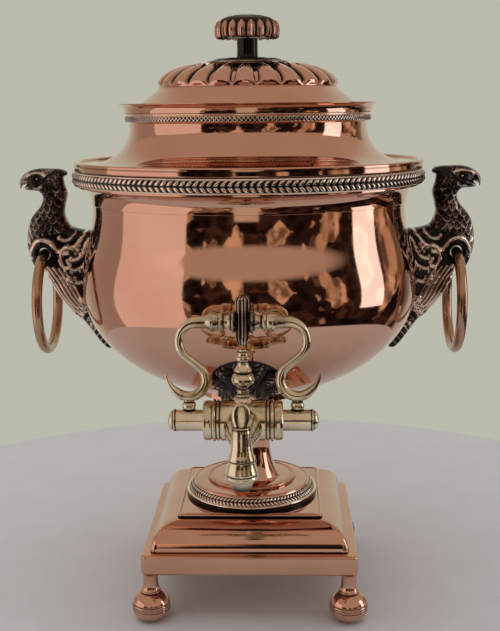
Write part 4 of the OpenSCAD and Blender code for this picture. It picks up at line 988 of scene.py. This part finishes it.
def make_yoke_scrolls(here):
    """Each is a trumpet on the cross-bar, an upper curl, a straight link, a lower curl and its open end."""
    top_x, top_z, top_r = 26.6, 49.2, 12.0
    low_z, low_r, open_r = 25.4, 10.4, 17.4
    link, open_at, open_sweep = -50.3, 300.0, 50.0
    open_x = BALL_X + (low_r - open_r) * math.cos(math.radians(open_at))
    open_z = low_z + (low_r - open_r) * math.sin(math.radians(open_at))
    curve = ([(x, BAR_Z) for x in np.linspace(BAR_END, top_x, 14)[:-1]]
             + arc(top_x, top_z, top_r, top_r, 90, link, 40)
             + arc(BALL_X, low_z, low_r, low_r, link + 180, open_at, 40)
             + arc(open_x, open_z, open_r, open_r, open_at, open_at + open_sweep, 22)[1:])
    curve = np.array(dense(curve, 1.2, closed=False))
    steps = distances(curve)
    left_over = steps[-1] - steps
    radii = 2.55 + 0.65 * bell(left_over, 24, 15)
    radii = radii + 2.0 * bell(steps, 0, 3.2) + 1.5 * bell(steps, 0, 15)
    radii = radii * (0.22 + 0.78 * between(left_over, -3, 17))
    for side, name in ((-1, "yoke_scroll_left"), (1, "yoke_scroll_right")):
        path = np.column_stack([side * curve[:, 0], np.zeros(len(curve)), curve[:, 1]])
        piece(name, moved(rod_mesh(path, radii), here))


def make_yoke_bar(here):
    """The cross-bar with its collars."""
    collar = [(3.05, 4.3), (6.0, 4.3), (6.7, 4.9), (6.8, 5.6), (6.4, 6.4), (5.7, 6.8), (5.2, 7.6), (4.5, 8.8),
              (4.1, 10.2), (4.2, 11.4), (5.2, 12.0), (5.8, 12.8), (5.8, 13.6), (5.2, 14.2), (4.7, 14.6),
              (5.0, 15.4), (5.5, 16.4), (5.6, 17.9), (3.05, 17.9)]
    # Painted shade in the collars' grooves and where they meet the grip
    lines = dark_bands((4.6, 1.0), (7.0, 0.9), (11.3, 0.7), (14.7, 0.5))
    mesh = both_sides(turned_mesh(dense(soft(collar), 0.4), 72, lines), along_x)
    on_bar = at(0, 0, BAR_Z)
    piece("yoke_collars", moved(mesh, on_bar, here))

    # The bar is thinner where the grip hides it
    bar = [(0, -BAR_END), (3, -BAR_END), (3, -4.3), (2, -4), (2, 4), (3, 4.3), (3, BAR_END), (0, BAR_END)]
    piece("yoke_crossbar", moved(turned_mesh(dense(bar, 2, closed=False), 48), along_x(), on_bar, here))


def squared_circle(count, power_x, power_y):
    """Points round a circle that powers below 1 draw out towards its corners."""
    turn = np.arange(count) * TAU / count
    cos, sin = np.cos(turn), np.sin(turn)
    return np.sign(cos) * np.abs(cos) ** power_x, np.sign(sin) * np.abs(sin) ** power_y


def taper(share, start, length, narrowing=1.0, power=2, least=0.0):
    """1 up to start, then smaller along a round end."""
    return math.sqrt(max(least, 1 - max(0, (share - start) / length) ** power * narrowing))


def make_grip(here, axis_z):
    """The flat grip with reeds down its front and back."""
    box = span("yoke_grip")
    z0, height = box.z0 - axis_z, box.h
    x, y = squared_circle(96, 0.45, 0.45)
    face = np.abs(y) > 0.55
    reeds = np.abs(np.cos(TAU * x))
    depth = np.where(face, 0.6 * (1 - reeds), 0)
    rows = []
    for share in np.linspace(0, 1, 60):
        half = box.w / 2 * (0.66 + 0.34 * between(share, 0, 0.2)) * taper(share, 0.9, 0.1, 0.72)
        half_deep = box.d / 2 * (0.8 + 0.2 * between(share, 0, 0.12)) * taper(share, 0.93, 0.07, 0.8)
        rows.append(np.column_stack([x * half, y * (half_deep - depth), np.full(96, z0 + share * height)]))
    verts, faces, _ = loft_mesh(rows)
    relief = np.tile(np.where(face, 0.10 + 0.5 * reeds ** 3, 0.6), len(rows))
    piece("yoke_grip", moved((verts, faces, relief), here), sharp=40)


def make_finial(here):
    base = 12.4
    shape = [(0, -3), (5.6, -1.2), (5.4, 0.2), (4.6, 1.0), (3.6, 2.4), (3.9, 3.4), (3.2, 4.4), (3.7, 5.6),
             (3.7, 6.6), (2.9, 7.6), (3.2, 8.8), (4.6, 9.8), (6.2, 10.8), (7.0, 12.6), (7.0, 14.2),
             (6.2, 16.0), (4.8, 17.2), (3.8, 17.6), (4.6, 18.0), (5.5, 18.6), (5.4, 19.4), (4.5, 20.4),
             (3.4, 22.4), (3.0, 24.4), (3.2, 25.2), (4.3, 25.8), (4.3, 27.2), (3.3, 28.0), (3.1, 29.6),
             (2.5, 30.4), (2.2, 31.6), (1.6, 32.2), (0, 32.2)]
    outline = near(0, base, *dense(soft(shape, 0.5, closed=False), 0.5, closed=False))
    # Painted shade in the finial's grooves
    grooves = ((2.4, 0.5), (4.4, 0.5), (7.6, 0.8), (17.6, 0.6), (24.4, 0.5), (30.4, 0.4))
    lines = dark_bands(*near(base, 0, *grooves))
    piece("tap_finial", moved(turned_mesh(outline, 72, lines), here), sharp=50)


def make_spout(axis_z):
    box, crest = span("tap_spout"), span("spout_crest")
    tip = box.z0 - axis_z
    place = at(0, box.middle[1], axis_z)
    shape = near(
        0, tip, (4.5, 0), (5.4, 0), (6.0, 0.8), (6.5, 2.6), (7.2, 4.6), (7.4, 5.6), (9.0, 6.2), (9.7, 7.0),
        (9.8, 8.0), (9.3, 8.9), (8.9, 9.2), (9.3, 9.7), (9.4, 10.6), (8.9, 12.2), (8.3, 14.2), (7.9, 16.2),
        (7.9, 17.1), (7.4, 17.5), (7.4, 17.8), (7.9, 18.2), (7.6, 19.6), (6.9, 21.6), (6.3, 24.0), (6.0, 27),
        (5.8, 31), (5.6, 35), (5.0, 37.4), (0, 38.0))
    outline = near(0, tip, (0, 20), (4.5, 20)) + soft(shape, 0.35, closed=False)
    # Painted shade in the spout's grooves, and over its open end where the bore is in shadow
    lines = dark_bands(*near(tip, 0, (0, 3.4), (5.9, 0.4), (9.15, 0.35), (17.65, 0.35), (36.5, 0.6)))
    mesh = turned_mesh(dense(outline, 0.5, closed=False), 96, lines)
    piece("tap_spout", moved(mesh, place), sharp=50)

    # The crest: a small shield that stands on the spout
    z0, z1 = crest.z0 - axis_z, crest.z1 - axis_z
    x, y = squared_circle(64, 0.7, 0.8)
    rows = []
    for share in np.linspace(0, 1, 40):
        wide = crest.w / 2 * (0.78 + 0.22 * math.sin(math.pi * min(1, share * 1.15)))
        wide *= taper(share, 0.55, 0.45, power=2.4, least=0.02)
        deep = (2.6 - 1.0 * share) * taper(share, 0.8, 0.2, least=0.05)
        rows.append(np.column_stack([x * wide, y * deep, np.full(64, z0 + share * (z1 - z0))]))
    piece("spout_crest", moved(loft_mesh(rows), place), sharp=50)


def outside_bowl(verts, gap=0.05):
    """Moves points that lie inside the bowl out to its surface."""
    rise = (verts[:, 2] - BELLY_Z) / (BELLY_DROP + gap)
    flat = np.hypot(verts[:, 0], verts[:, 1]) / (BELLY_R + gap)
    reach = np.sqrt(rise ** 2 + flat ** 2)
    lower = (verts[:, 2] < BELLY_Z) & (reach < 1)
    grow = np.where(lower, 1 / np.maximum(reach, 1e-6), 1)[:, None]
    middle = np.array([0, 0, BELLY_Z])
    return middle + (verts - middle) * grow


def pipe_meets_bowl():
    """Distance from the barrel's axis to the outside of the bowl, along the sloping pipe."""
    _, ground, axis_z = span("tap_plug").middle
    low = axis_z - BELLY_Z
    cos, sin = math.cos(TAP_SLOPE), math.sin(TAP_SLOPE)
    a = (cos / BELLY_R) ** 2 + (sin / BELLY_DROP) ** 2
    b = 2 * (low * sin / BELLY_DROP ** 2 + ground * cos / BELLY_R ** 2)
    c = (ground / BELLY_R) ** 2 + (low / BELLY_DROP) ** 2 - 1
    return (-b - math.sqrt(b * b - 4 * a * c)) / (2 * a)


def make_flange(pipe_way):
    """The leafy flange that the tap's pipe leaves the bowl through."""
    r = 21.5
    outline = dense([(7.1, 9), (7.1, 0), (8.6, 0), (10.2, 0.6), (12.4, 2.2), (15.5, 3.4), (18.5, 5.0),
                     (r, 7.0), (r + 0.2, 8.4), (r, 10.5), (r * 0.97, 20), (7.1, 20)], 0.9)

    def leaves(spot):
        side = from_middle(spot.angle * 9 / TAU)
        leaf = np.sqrt(unit(1 - side ** 2))
        vein = unit(1 - side / 0.1)
        ribs = 0.5 + 0.5 * np.cos(TAU * (spot.r / 2.6 + 1.6 * side))
        lively = between(spot.r, 8.5, 20) * (spot.z < 12)
        edge = between(spot.r, 18, 21)
        shift = lively * (-(2.4 + 3.0 * edge) * (1 - leaf) + (0.7 + 0.9 * edge) * ribs * leaf + 0.5 * vein)
        # The bright ribs and veins are worn relief and also painted glints
        return shift, unit(lively * (0.55 * leaf * ribs ** 2 + 0.5 * vein)) * 0.9

    tilt = Matrix.Rotation(math.radians(26), 4, "X")
    lean = placed(Matrix.Translation((0, 0, pipe_meets_bowl())) @ tilt @ Matrix.Translation((0, 0, -9.5)))
    piece("tap_flange", moved(turned_mesh(outline, 288, leaves), lean, pipe_way, outside_bowl), sharp=50)


# -- Eagles --

EAGLE_OUTLINE = [
    (-14, 38), (-4.9, 38), (2.4, 39), (8.2, 41), (10.9, 44.4), (12.6, 50), (11.9, 56), (10.1, 64),
    (11.9, 71), (12.4, 76), (9.8, 77.8), (10.4, 80.6), (15.2, 82.2), (22, 82.5), (29.7, 82.6), (35.8, 81.4),
    (40.8, 78.8), (44.1, 75), (45, 71), (44.1, 68), (42.7, 70.4), (39.6, 71.3), (41.3, 69.2), (40.4, 67.1),
    (36.4, 66.6), (31.6, 66.2), (29.3, 64.4), (27.9, 61), (30.2, 55.5), (34.1, 51),
    (37.7, 46), (40.4, 38), (41.2, 30), (40.6, 22), (38, 14), (35, 9.6), (27.6, 7.2), (25.8, 1),
    (22.7, -4), (19.2, -10), (14.7, -16), (10.7, -20.5), (7, -25), (2.1, -28.5), (-2.3, -34.5),
    (-7.3, -41.4), (-11.3, -46.8), (-15.6, -50.4), (-20, -49), (-23, -42), (-18, -22), (-14, 10)]
# Half of the eagle's thickness, by height and by distance from the bowl
EAGLE_SIDE = [(-51, 2.5), (-44, 5), (-30, 8), (-8, 10), (14, 10.5), (40, 10.5), (58, 8.6), (70, 9.2),
              (83, 6.5)]
EAGLE_PLAN = [(-24, 10.5), (30, 10.5), (34.5, 8), (40, 4), (46, 1.5)]
RING_HOLE = (28.2, 20.65, 4.4)      # place in the eagle's own plane, and radius where it is narrowest
RECESS_R = 8.0      # radius of the dark hollow round the hole


def smooth_loop(points, steps):
    """A smooth closed curve through points (Catmull-Rom)."""
    p = np.array(points, float)
    a, b, c, d = np.roll(p, 1, 0), p, np.roll(p, -1, 0), np.roll(p, -2, 0)
    t = (np.arange(steps) / steps)[None, :, None]
    a, b, c, d = a[:, None], b[:, None], c[:, None], d[:, None]
    square, cube = 2 * a - 5 * b + 4 * c - d, 3 * b - a - 3 * c + d
    return ((2 * b + (c - a) * t + square * t ** 2 + cube * t ** 3) / 2).reshape(-1, 2)


def even_loop(loop, step):
    """The loop with points at even distances."""
    loop = np.vstack([loop, loop[:1]])
    length = distances(loop)
    count = int(length[-1] / step)
    want = np.arange(count) * length[-1] / count
    return np.column_stack([np.interp(want, length, loop[:, axis]) for axis in (0, 1)])


def sides(loop):
    """The sides of a closed loop as (start, end)."""
    return list(zip(loop, np.roll(loop, -1, axis=0)))


def to_lines(points, lines):
    """Distance from each point to the nearest of the segments (start, end)."""
    best = np.full(len(points), 1e9)
    for start, end in lines:
        along = end - start
        share = unit(((points - start) @ along) / max(along @ along, 1e-12))
        best = np.minimum(best, np.linalg.norm(points - start - share[:, None] * along, axis=1))
    return best


def inside_loop(points, loop):
    """Which of the points lie inside the closed loop."""
    x, y = points[:, 0], points[:, 1]
    inside = np.zeros(len(points), bool)
    for (x0, y0), (x1, y1) in sides(loop):
        crosses = (y0 > y) != (y1 > y)
        with np.errstate(divide="ignore", invalid="ignore"):
            inside ^= crosses & (x < (x1 - x0) * (y - y0) / (y1 - y0) + x0)
    return inside


# Lines of the carving in the eagle's own plane, each with its width and how far it stands up
EAGLE_STROKES = [
    ([(37.6, 18), (36.8, 25), (33.4, 30), (28.2, 31.6), (22.5, 29.5), (19, 25), (15, 22), (11, 22)],
     1.3, 1.1),
    ([(9.5, 26), (13.5, 24.5), (15.8, 19.5), (14.6, 13.5), (11.2, 11), (8.6, 13.2), (10.4, 16.4)], 1.2, 1.2),
    ([(-3, 37.5), (0.6, 31.5), (4.8, 27), (9.4, 26.6)], 1.2, 1.0),
    ([(-8, 35), (-3.6, 28.5), (-1.6, 22.5), (2.8, 18), (7.6, 18.6)], 1.1, 0.9),
    ([(4, 37.2), (7.8, 32.6), (12.4, 31.2), (15.4, 33.6)], 1.0, 0.8),
    ([(-5, 21), (-2.2, 14.4), (2.6, 10.4), (7.6, 10.2)], 1.1, 0.8),
    ([(-9, 12), (-5.4, 5.4), (-1, 1.4), (4.2, 0.8)], 1.1, 0.8),
    ([(-10, 0), (-6.8, -6.6), (-3, -10.4), (2, -11.6)], 1.0, 0.7),
    ([(38, 77.2), (33.5, 79.2), (28.5, 79.2), (25, 77.4)], 0.9, 0.8),
    ([(33.4, 68.8), (30, 68.4), (27, 70.2)], 1.0, 0.6),
    ([(37, 79), (41, 76.6), (43.6, 73), (44.2, 70)], 0.5, 0.5),
]
EAGLE_CUTS = [
    ([(40.5, 71.2), (37, 71.0), (33.5, 71.6), (30.8, 72.6)], 0.6, 1.0),
    ([(38.6, 74.8), (39.4, 74.6)], 0.5, 0.6),
    ([(24, 66.5), (25.4, 71), (24.4, 75.6), (20, 78.6), (14, 79)], 0.7, 0.6),
]
EYE = (30.4, 75.4)


def near_line(points, line, width):
    """1 on a line through the given corners, falling to 0 a little more than width away from it."""
    corners = np.array(line, float)
    if len(line) > 3:
        corners = smooth_loop(corners, 6)[:6 * (len(line) - 1) + 1]
    distance = to_lines(points, list(zip(corners[:-1], corners[1:])))
    return bell(distance, 0, width)


def feathers(points, width, height):
    """Overlapping scales in staggered rows: how far they stand up, and their bright edges and ribs."""
    drift = 0.9 * np.sin(0.31 * points[:, 1] + 0.2 * points[:, 0]) + 0.6 * np.sin(0.53 * points[:, 0])
    x = (points[:, 0] + drift) / width
    z = (points[:, 1] + 0.7 * drift) / height
    stand, edge = np.zeros(len(points)), np.zeros(len(points))
    free = np.ones(len(points), bool)
    for row in (1, 0):
        line = np.floor(z) + row
        middle = np.floor(x + 0.5 * (line % 2)) + 0.5 - 0.5 * (line % 2)
        reach = np.hypot((x - middle) / 0.56, (z - line - 0.25) / 1.25)
        mine = free & (reach < 1)
        stand = np.where(mine, 0.35 + 0.65 * reach ** 2, stand)
        rib = bell(x, middle, 0.09)
        rim = bell(reach, 0.84, 0.12)
        edge = np.where(mine, np.maximum(rim, 0.55 * rib), edge)
        free &= ~mine
    return stand, edge


def rosette(points, middle, radius, leaves):
    """A small flower: how far it stands up at each point."""
    away = points - np.array(middle)
    reach = np.linalg.norm(away, axis=1) / radius
    turn = np.arctan2(away[:, 1], away[:, 0])
    petal = 0.55 + 0.45 * np.abs(np.cos(leaves / 2 * turn))
    return unit(1.2 - (reach / petal) ** 2) * (0.6 + 0.4 * np.cos(reach * 7))


def eagle_relief(points):
    """How far the carving stands up at each point, in millimetres, and how bright it is."""
    x, z = points[:, 0], points[:, 1]
    # Feathers cover the neck and the breast, above a slanting border, and the back of the head
    border = 33 - 0.25 * (x - 28)
    plumage = between(z, border, border + 2) * (1 - between(z, 66, 70))
    plumage = np.maximum(plumage, between(x, 36.5, 38.5) * between(z, 8, 12) * (1 - between(z, 66, 70)))
    stand, edge = feathers(points, 5.4, 4.6)
    up = plumage * 1.7 * (stand - 0.6)
    bright = 0.12 + plumage * (0.34 * edge)
    small_stand, small_edge = feathers(points, 3.0, 2.4)
    face = between(z, 67, 70) * (1 - between(x, 26, 30))
    up += face * 0.5 * (small_stand - 0.6)
    bright += face * 0.3 * small_edge
    # Long ridges run down the body along its lower edge
    for k in range(6):
        ridge = [(32 - 3.9 * k, 11.5 - 0.4 * k), (24.5 - 3.3 * k, 2.5 - 0.2 * k),
                 (17.5 - 2.6 * k, -10 + 0.9 * k), (9.5 - 1.7 * k, -20 + 1.6 * k),
                 (3.6 - 1.1 * k, -26 + 2.2 * k)]
        line = near_line(points, ridge, 0.95)
        up += 1.3 * line
        bright += (0.9 - 0.06 * k) * line
    # Leaves cross the tail
    for k in range(7):
        x0, z0 = 4.2 - 2.7 * k, -26.5 - 3.4 * k
        for side in (-1, 1):
            line = near_line(points, [(x0 + 0.4, z0 - 2.6), (x0 - 1 + 2.4 * side, z0 + 0.6 - 1.4 * side),
                                      (x0 - 2 + 5 * side, z0 + 3.4 - 3.2 * side)], 0.8)
            up += 0.8 * line
            bright += (0.5 + 0.12 * math.sin(5 * k + side)) * line
    for middle, radius, leaves in (((10.2, 3.4), 6.4, 6), ((0.8, -18.5), 5.0, 5), ((-2.5, 9), 5.0, 5),
                                   ((2.6, 24.6), 4.6, 6), ((-5, -31), 4.2, 5)):
        flower = rosette(points, middle, radius, leaves)
        up = up * (1 - unit(2 * flower)) + 1.9 * flower
        bright = bright * (1 - unit(flower)) + 0.85 * flower
    for line, width, stands in EAGLE_STROKES:
        near = near_line(points, line, width)
        up += 1.2 * stands * near
        bright += 0.75 * stands * near
    beak = between(x, 36.5, 39.5)
    bright += 0.3 * beak
    eye = np.linalg.norm(points - np.array(EYE), axis=1)
    up += 0.9 * bell(eye, 0, 0.8) - 0.9 * bell(eye, 1.7, 0.5)
    # A painted highlight: the middle of the eye is painted bright as a glint
    bright += 0.8 * bell(eye, 0, 0.6)
    # A dark hollow round the ring's hole
    hollow = between(np.linalg.norm(points - np.array(RING_HOLE[:2]), axis=1), 0.85 * RECESS_R, RECESS_R)
    bright = bright * hollow
    for line, width, depth in EAGLE_CUTS:
        near = near_line(points, line, width)
        up -= depth * near
        bright = bright * (1 - near)
    return up, unit(bright)


def eagle_mesh(grid=0.55):
    """The eagle on the +X side as two carved faces that meet at its outline."""
    carving = 0.55      # room that the carving needs within the eagle's thickness
    edge_round = 6.5    # width of the rounding along the outline
    least = 0.5         # half thickness next to the outline
    outline = even_loop(smooth_loop(EAGLE_OUTLINE, 6), 0.6)
    hole_x, hole_z, hole_r = RING_HOLE
    turn = np.arange(72) * TAU / 72
    hole = np.column_stack([hole_x + hole_r * np.cos(turn), hole_z + hole_r * np.sin(turn)])
    low, high = outline.min(axis=0), outline.max(axis=0)
    across, up = np.meshgrid(np.arange(low[0], high[0], grid), np.arange(low[1], high[1], grid))
    across = across + 0.5 * grid * (np.arange(len(across)) % 2)[:, None]
    cloud = np.column_stack([across.ravel(), up.ravel()])
    cloud = cloud[inside_loop(cloud, outline) & ~inside_loop(cloud, hole)]
    cloud = cloud[to_lines(cloud, sides(outline) + sides(hole)) > 0.3]
    points = np.vstack([outline, hole, cloud])
    n, m = len(outline), len(hole)
    constraints = [(i, (i + 1) % n) for i in range(n)] + [(n + i, n + (i + 1) % m) for i in range(m)]
    flat, _, triangles, _, _, _ = delaunay_2d_cdt([Vector(p) for p in points], constraints, [], 0, 1e-6)
    flat = np.array([tuple(p) for p in flat])
    triangles = np.array(triangles)
    middle = flat[triangles].mean(axis=1)
    triangles = triangles[inside_loop(middle, outline) & ~inside_loop(middle, hole)]
    edge = np.minimum(to_lines(flat, sides(outline)), 2.2 * to_lines(flat, sides(hole)))
    side, plan = np.array(EAGLE_SIDE), np.array(EAGLE_PLAN)
    limit = np.minimum(np.interp(flat[:, 1], *side.T), np.interp(flat[:, 0], *plan.T)) - carving
    pillow = np.sqrt(unit(1 - (1 - unit(edge / np.minimum(limit, edge_round))) ** 2))
    carved, bright = eagle_relief(flat)
    on_edge = edge < 1e-4
    thick = np.where(on_edge, 0.0, least + (limit - least) * pillow + carved * between(edge, 0, 1.2))
    count = len(flat)
    front = np.column_stack([flat[:, 0], -thick, flat[:, 1]])
    back = np.column_stack([flat[:, 0], thick, flat[:, 1]])
    back_index = np.where(on_edge, np.arange(count), count + np.arange(count))
    first, second, third = (flat[triangles[:, corner]] for corner in range(3))
    normal_up = np.cross(second - first, third - first) > 0
    triangles = np.where(normal_up[:, None], triangles, triangles[:, ::-1])
    faces = np.vstack([triangles, back_index[triangles[:, ::-1]]])
    used, faces = np.unique(faces, return_inverse=True)
    verts, relief = np.vstack([front, back]), np.concatenate([bright, bright])
    return verts[used], faces.reshape(-1, 3).tolist(), relief[used]


def make_eagles():
    verts, faces, relief = eagle_mesh()
    verts = verts + [BELLY_R, 0, BELLY_Z]
    # The side of the eagle that the bowl hides follows the bowl's surface
    surface = np.array([bowl_radius(z) + 0.05 for z in verts[:, 2]])
    around = np.hypot(verts[:, 0], verts[:, 1])
    on_surface = np.sqrt(np.maximum(surface ** 2 - verts[:, 1] ** 2, 0))
    verts[:, 0] = np.where(around < surface, on_surface, verts[:, 0])
    piece("eagle_right", (verts, faces, relief), sharp=60)
    mirrored = verts * [-1, 1, 1]
    piece("eagle_left", (mirrored, [face[::-1] for face in faces], relief), sharp=60)


# ---- Stage, light and camera ----

def pale_cloth():
    tree = material("pale_cloth", metallic=0.0)
    weave = tree.noise(30, 4)
    tree.surface({"Base Color": tree.blend(weave, (0.68, 0.72, 0.78), (0.60, 0.64, 0.70)), "Roughness": 0.85})
    tree.bump(weave, 0.2, 0.002)
    return tree.owner


def make_table(radius=430, thickness=12):
    """Round pale table top under the urn. It isn't part of the object."""
    outline = soft([(0, -thickness), (radius, -thickness), (radius, -0.05), (0, -0.05)], 4, closed=False)
    verts, faces, _ = turned_mesh(dense(outline, 60, closed=False), FINE)
    smooth_object("table_top", verts, faces, pale_cloth())


# Colours of the surroundings. The camera sees WALL, and the others are what the metal mirrors.
WALL = (0.50, 0.50, 0.42)
BACK_WALL = (0.55, 0.55, 0.45)
SIDE_WALL = (0.38, 0.31, 0.26)
CEILING = (0.50, 0.39, 0.32)
DOORWAY = (0.62, 0.52, 0.42)
ROOM_SIDE = (0.743, -0.669, 0)      # direction of the middle of the dark room


def make_world():
    """A pale wall behind the urn, a ceiling, and a dark warm room with a lit doorway in front of it."""
    world = bpy.data.worlds.new("room")
    bpy.context.scene.world = world
    tree = Tree(world)
    towards = tree.node("TexCoord", {}).outputs["Generated"]
    parts = tree.node("SeparateXYZ", {"Vector": towards}).outputs

    # The room's furniture: blocks of light and dark, uneven in themselves
    squat = tree.node("Mapping", {"Vector": towards, "Scale": (1, 1, 0.7)}).outputs["Vector"]
    blocks = tree.node("TexVoronoi", {"Vector": squat, "Scale": 4.5}, distance="CHEBYCHEV")
    furniture = tree.ramp(blocks.outputs["Color"], [
        (0.30, (0.02, 0.012, 0.010)), (0.50, (0.06, 0.03, 0.02)), (0.57, (0.30, 0.17, 0.10)),
        (0.70, (0.75, 0.52, 0.34))])
    patches = tree.node("TexNoise", {"Vector": squat, "Scale": 9.0})
    worn = tree.ramp(patches.outputs["Fac"], [(0.40, (0.25, 0.22, 0.20)), (0.60, WHITE)])
    room = tree.blend(1.0, furniture, worn, "MULTIPLY")

    # The doorway, low in the middle of the room
    sideways = tree.node("Math", {0: parts["X"]}, operation="ABSOLUTE")
    across = tree.levels(sideways.outputs[0], 0.13, 0.16, 1, 0)
    below = tree.levels(parts["Z"], -0.08, -0.05, 1, 0)
    doorway = tree.node("Math", {0: across, 1: below}, operation="MULTIPLY")
    room = tree.blend(doorway.outputs[0], room, DOORWAY)

    facing = tree.node("VectorMath", {0: towards, 1: ROOM_SIDE}, operation="DOT_PRODUCT")
    around = tree.blend(tree.levels(facing.outputs["Value"], -0.04, 0.0, 0, 1), SIDE_WALL, room)
    mirrored = tree.blend(tree.levels(parts["Z"], 0.26, 0.30, 0, 1), around, CEILING)
    mirrored = tree.blend(tree.levels(parts["Y"], 0.6, 0.85, 0, 1), mirrored, BACK_WALL)
    camera_ray = tree.node("LightPath", {}).outputs["Is Camera Ray"]
    tree.put(tree.nodes["Background"].inputs["Color"], tree.blend(camera_ray, mirrored, WALL))


def area_light(name, place, target, width, height, radiance, colour=(1, 1, 1)):
    """A soft box that shines from place to target. Lengths are in millimetres."""
    data = bpy.data.lights.new(name, "AREA")
    data.shape = "RECTANGLE"
    data.size, data.size_y = width * MM, height * MM
    data.energy = radiance * math.pi * data.size * data.size_y
    data.color = colour
    light = bpy.data.objects.new(name, data)
    bpy.context.scene.collection.objects.link(light)
    light.location = Vector(place) * MM
    aim = (Vector(target) - Vector(place)).normalized()
    light.rotation_mode = "QUATERNION"
    light.rotation_quaternion = aim.to_track_quat("-Z", "Y")
    return light


def make_lights():
    middle = (0, 0, 220)
    area_light("window_left", (-1150, -465, 60), middle, 1300, 1300, 0.5, (1, 0.82, 0.80))
    area_light("window_right", (1125, -70, 330), middle, 420, 800, 1.7, (0.88, 0.92, 1))
    ceiling = area_light("ceiling", (-150, -100, 1500), middle, 1700, 1700, 0.95, (0.88, 0.97, 1))
    ceiling.visible_glossy = False


PHOTO_HEIGHT = 631      # pixels
FOCAL_PIXELS = 1057
CAMERA_DISTANCE = 765.5
CAMERA_HEIGHT = 354.9
CAMERA_SIDE = math.radians(1.83)
CAMERA_PITCH = math.radians(11.03)
CAMERA_ROLL = math.radians(-0.564)


def make_camera():
    """The photograph's camera: nearly in front, a little above the rim, and tilted a little."""
    sensor = 36
    data = bpy.data.cameras.new("camera")
    data.sensor_width = sensor
    data.lens = FOCAL_PIXELS * sensor / PHOTO_HEIGHT
    camera = bpy.data.objects.new("camera", data)
    bpy.context.scene.collection.objects.link(camera)
    side, level = math.sin(CAMERA_SIDE), math.cos(CAMERA_SIDE)
    ahead = Vector((-side * math.cos(CAMERA_PITCH), level * math.cos(CAMERA_PITCH), -math.sin(CAMERA_PITCH)))
    right = Vector((level, side, 0))
    up = right.cross(ahead)
    right = math.cos(CAMERA_ROLL) * right + math.sin(CAMERA_ROLL) * up
    up = right.cross(ahead)
    place = Vector((CAMERA_DISTANCE * side, -CAMERA_DISTANCE * level, CAMERA_HEIGHT)) * MM
    camera.matrix_world = Matrix.Translation(place) @ Matrix((right, up, -ahead)).transposed().to_4x4()
    bpy.context.scene.camera = camera


# ---- Build ----

dress_cad_nodes()
for make in (
        make_feet, make_slab, make_cushion, make_platform, make_pedestal_ring, make_pedestal_disc, make_stem,
        make_stem_cup, make_bowl, make_rim_moulding, make_rim_band, make_rim_lip, make_shoulder,
        make_neck_rim, make_neck_band, make_lid, make_lid_bezel, make_lid_disc, make_knob_stem, make_knob,
        make_rings, make_tap, make_eagles, make_table, make_world, make_lights, make_camera):
    make()
bpy.context.scene.view_settings.view_transform = "Standard"
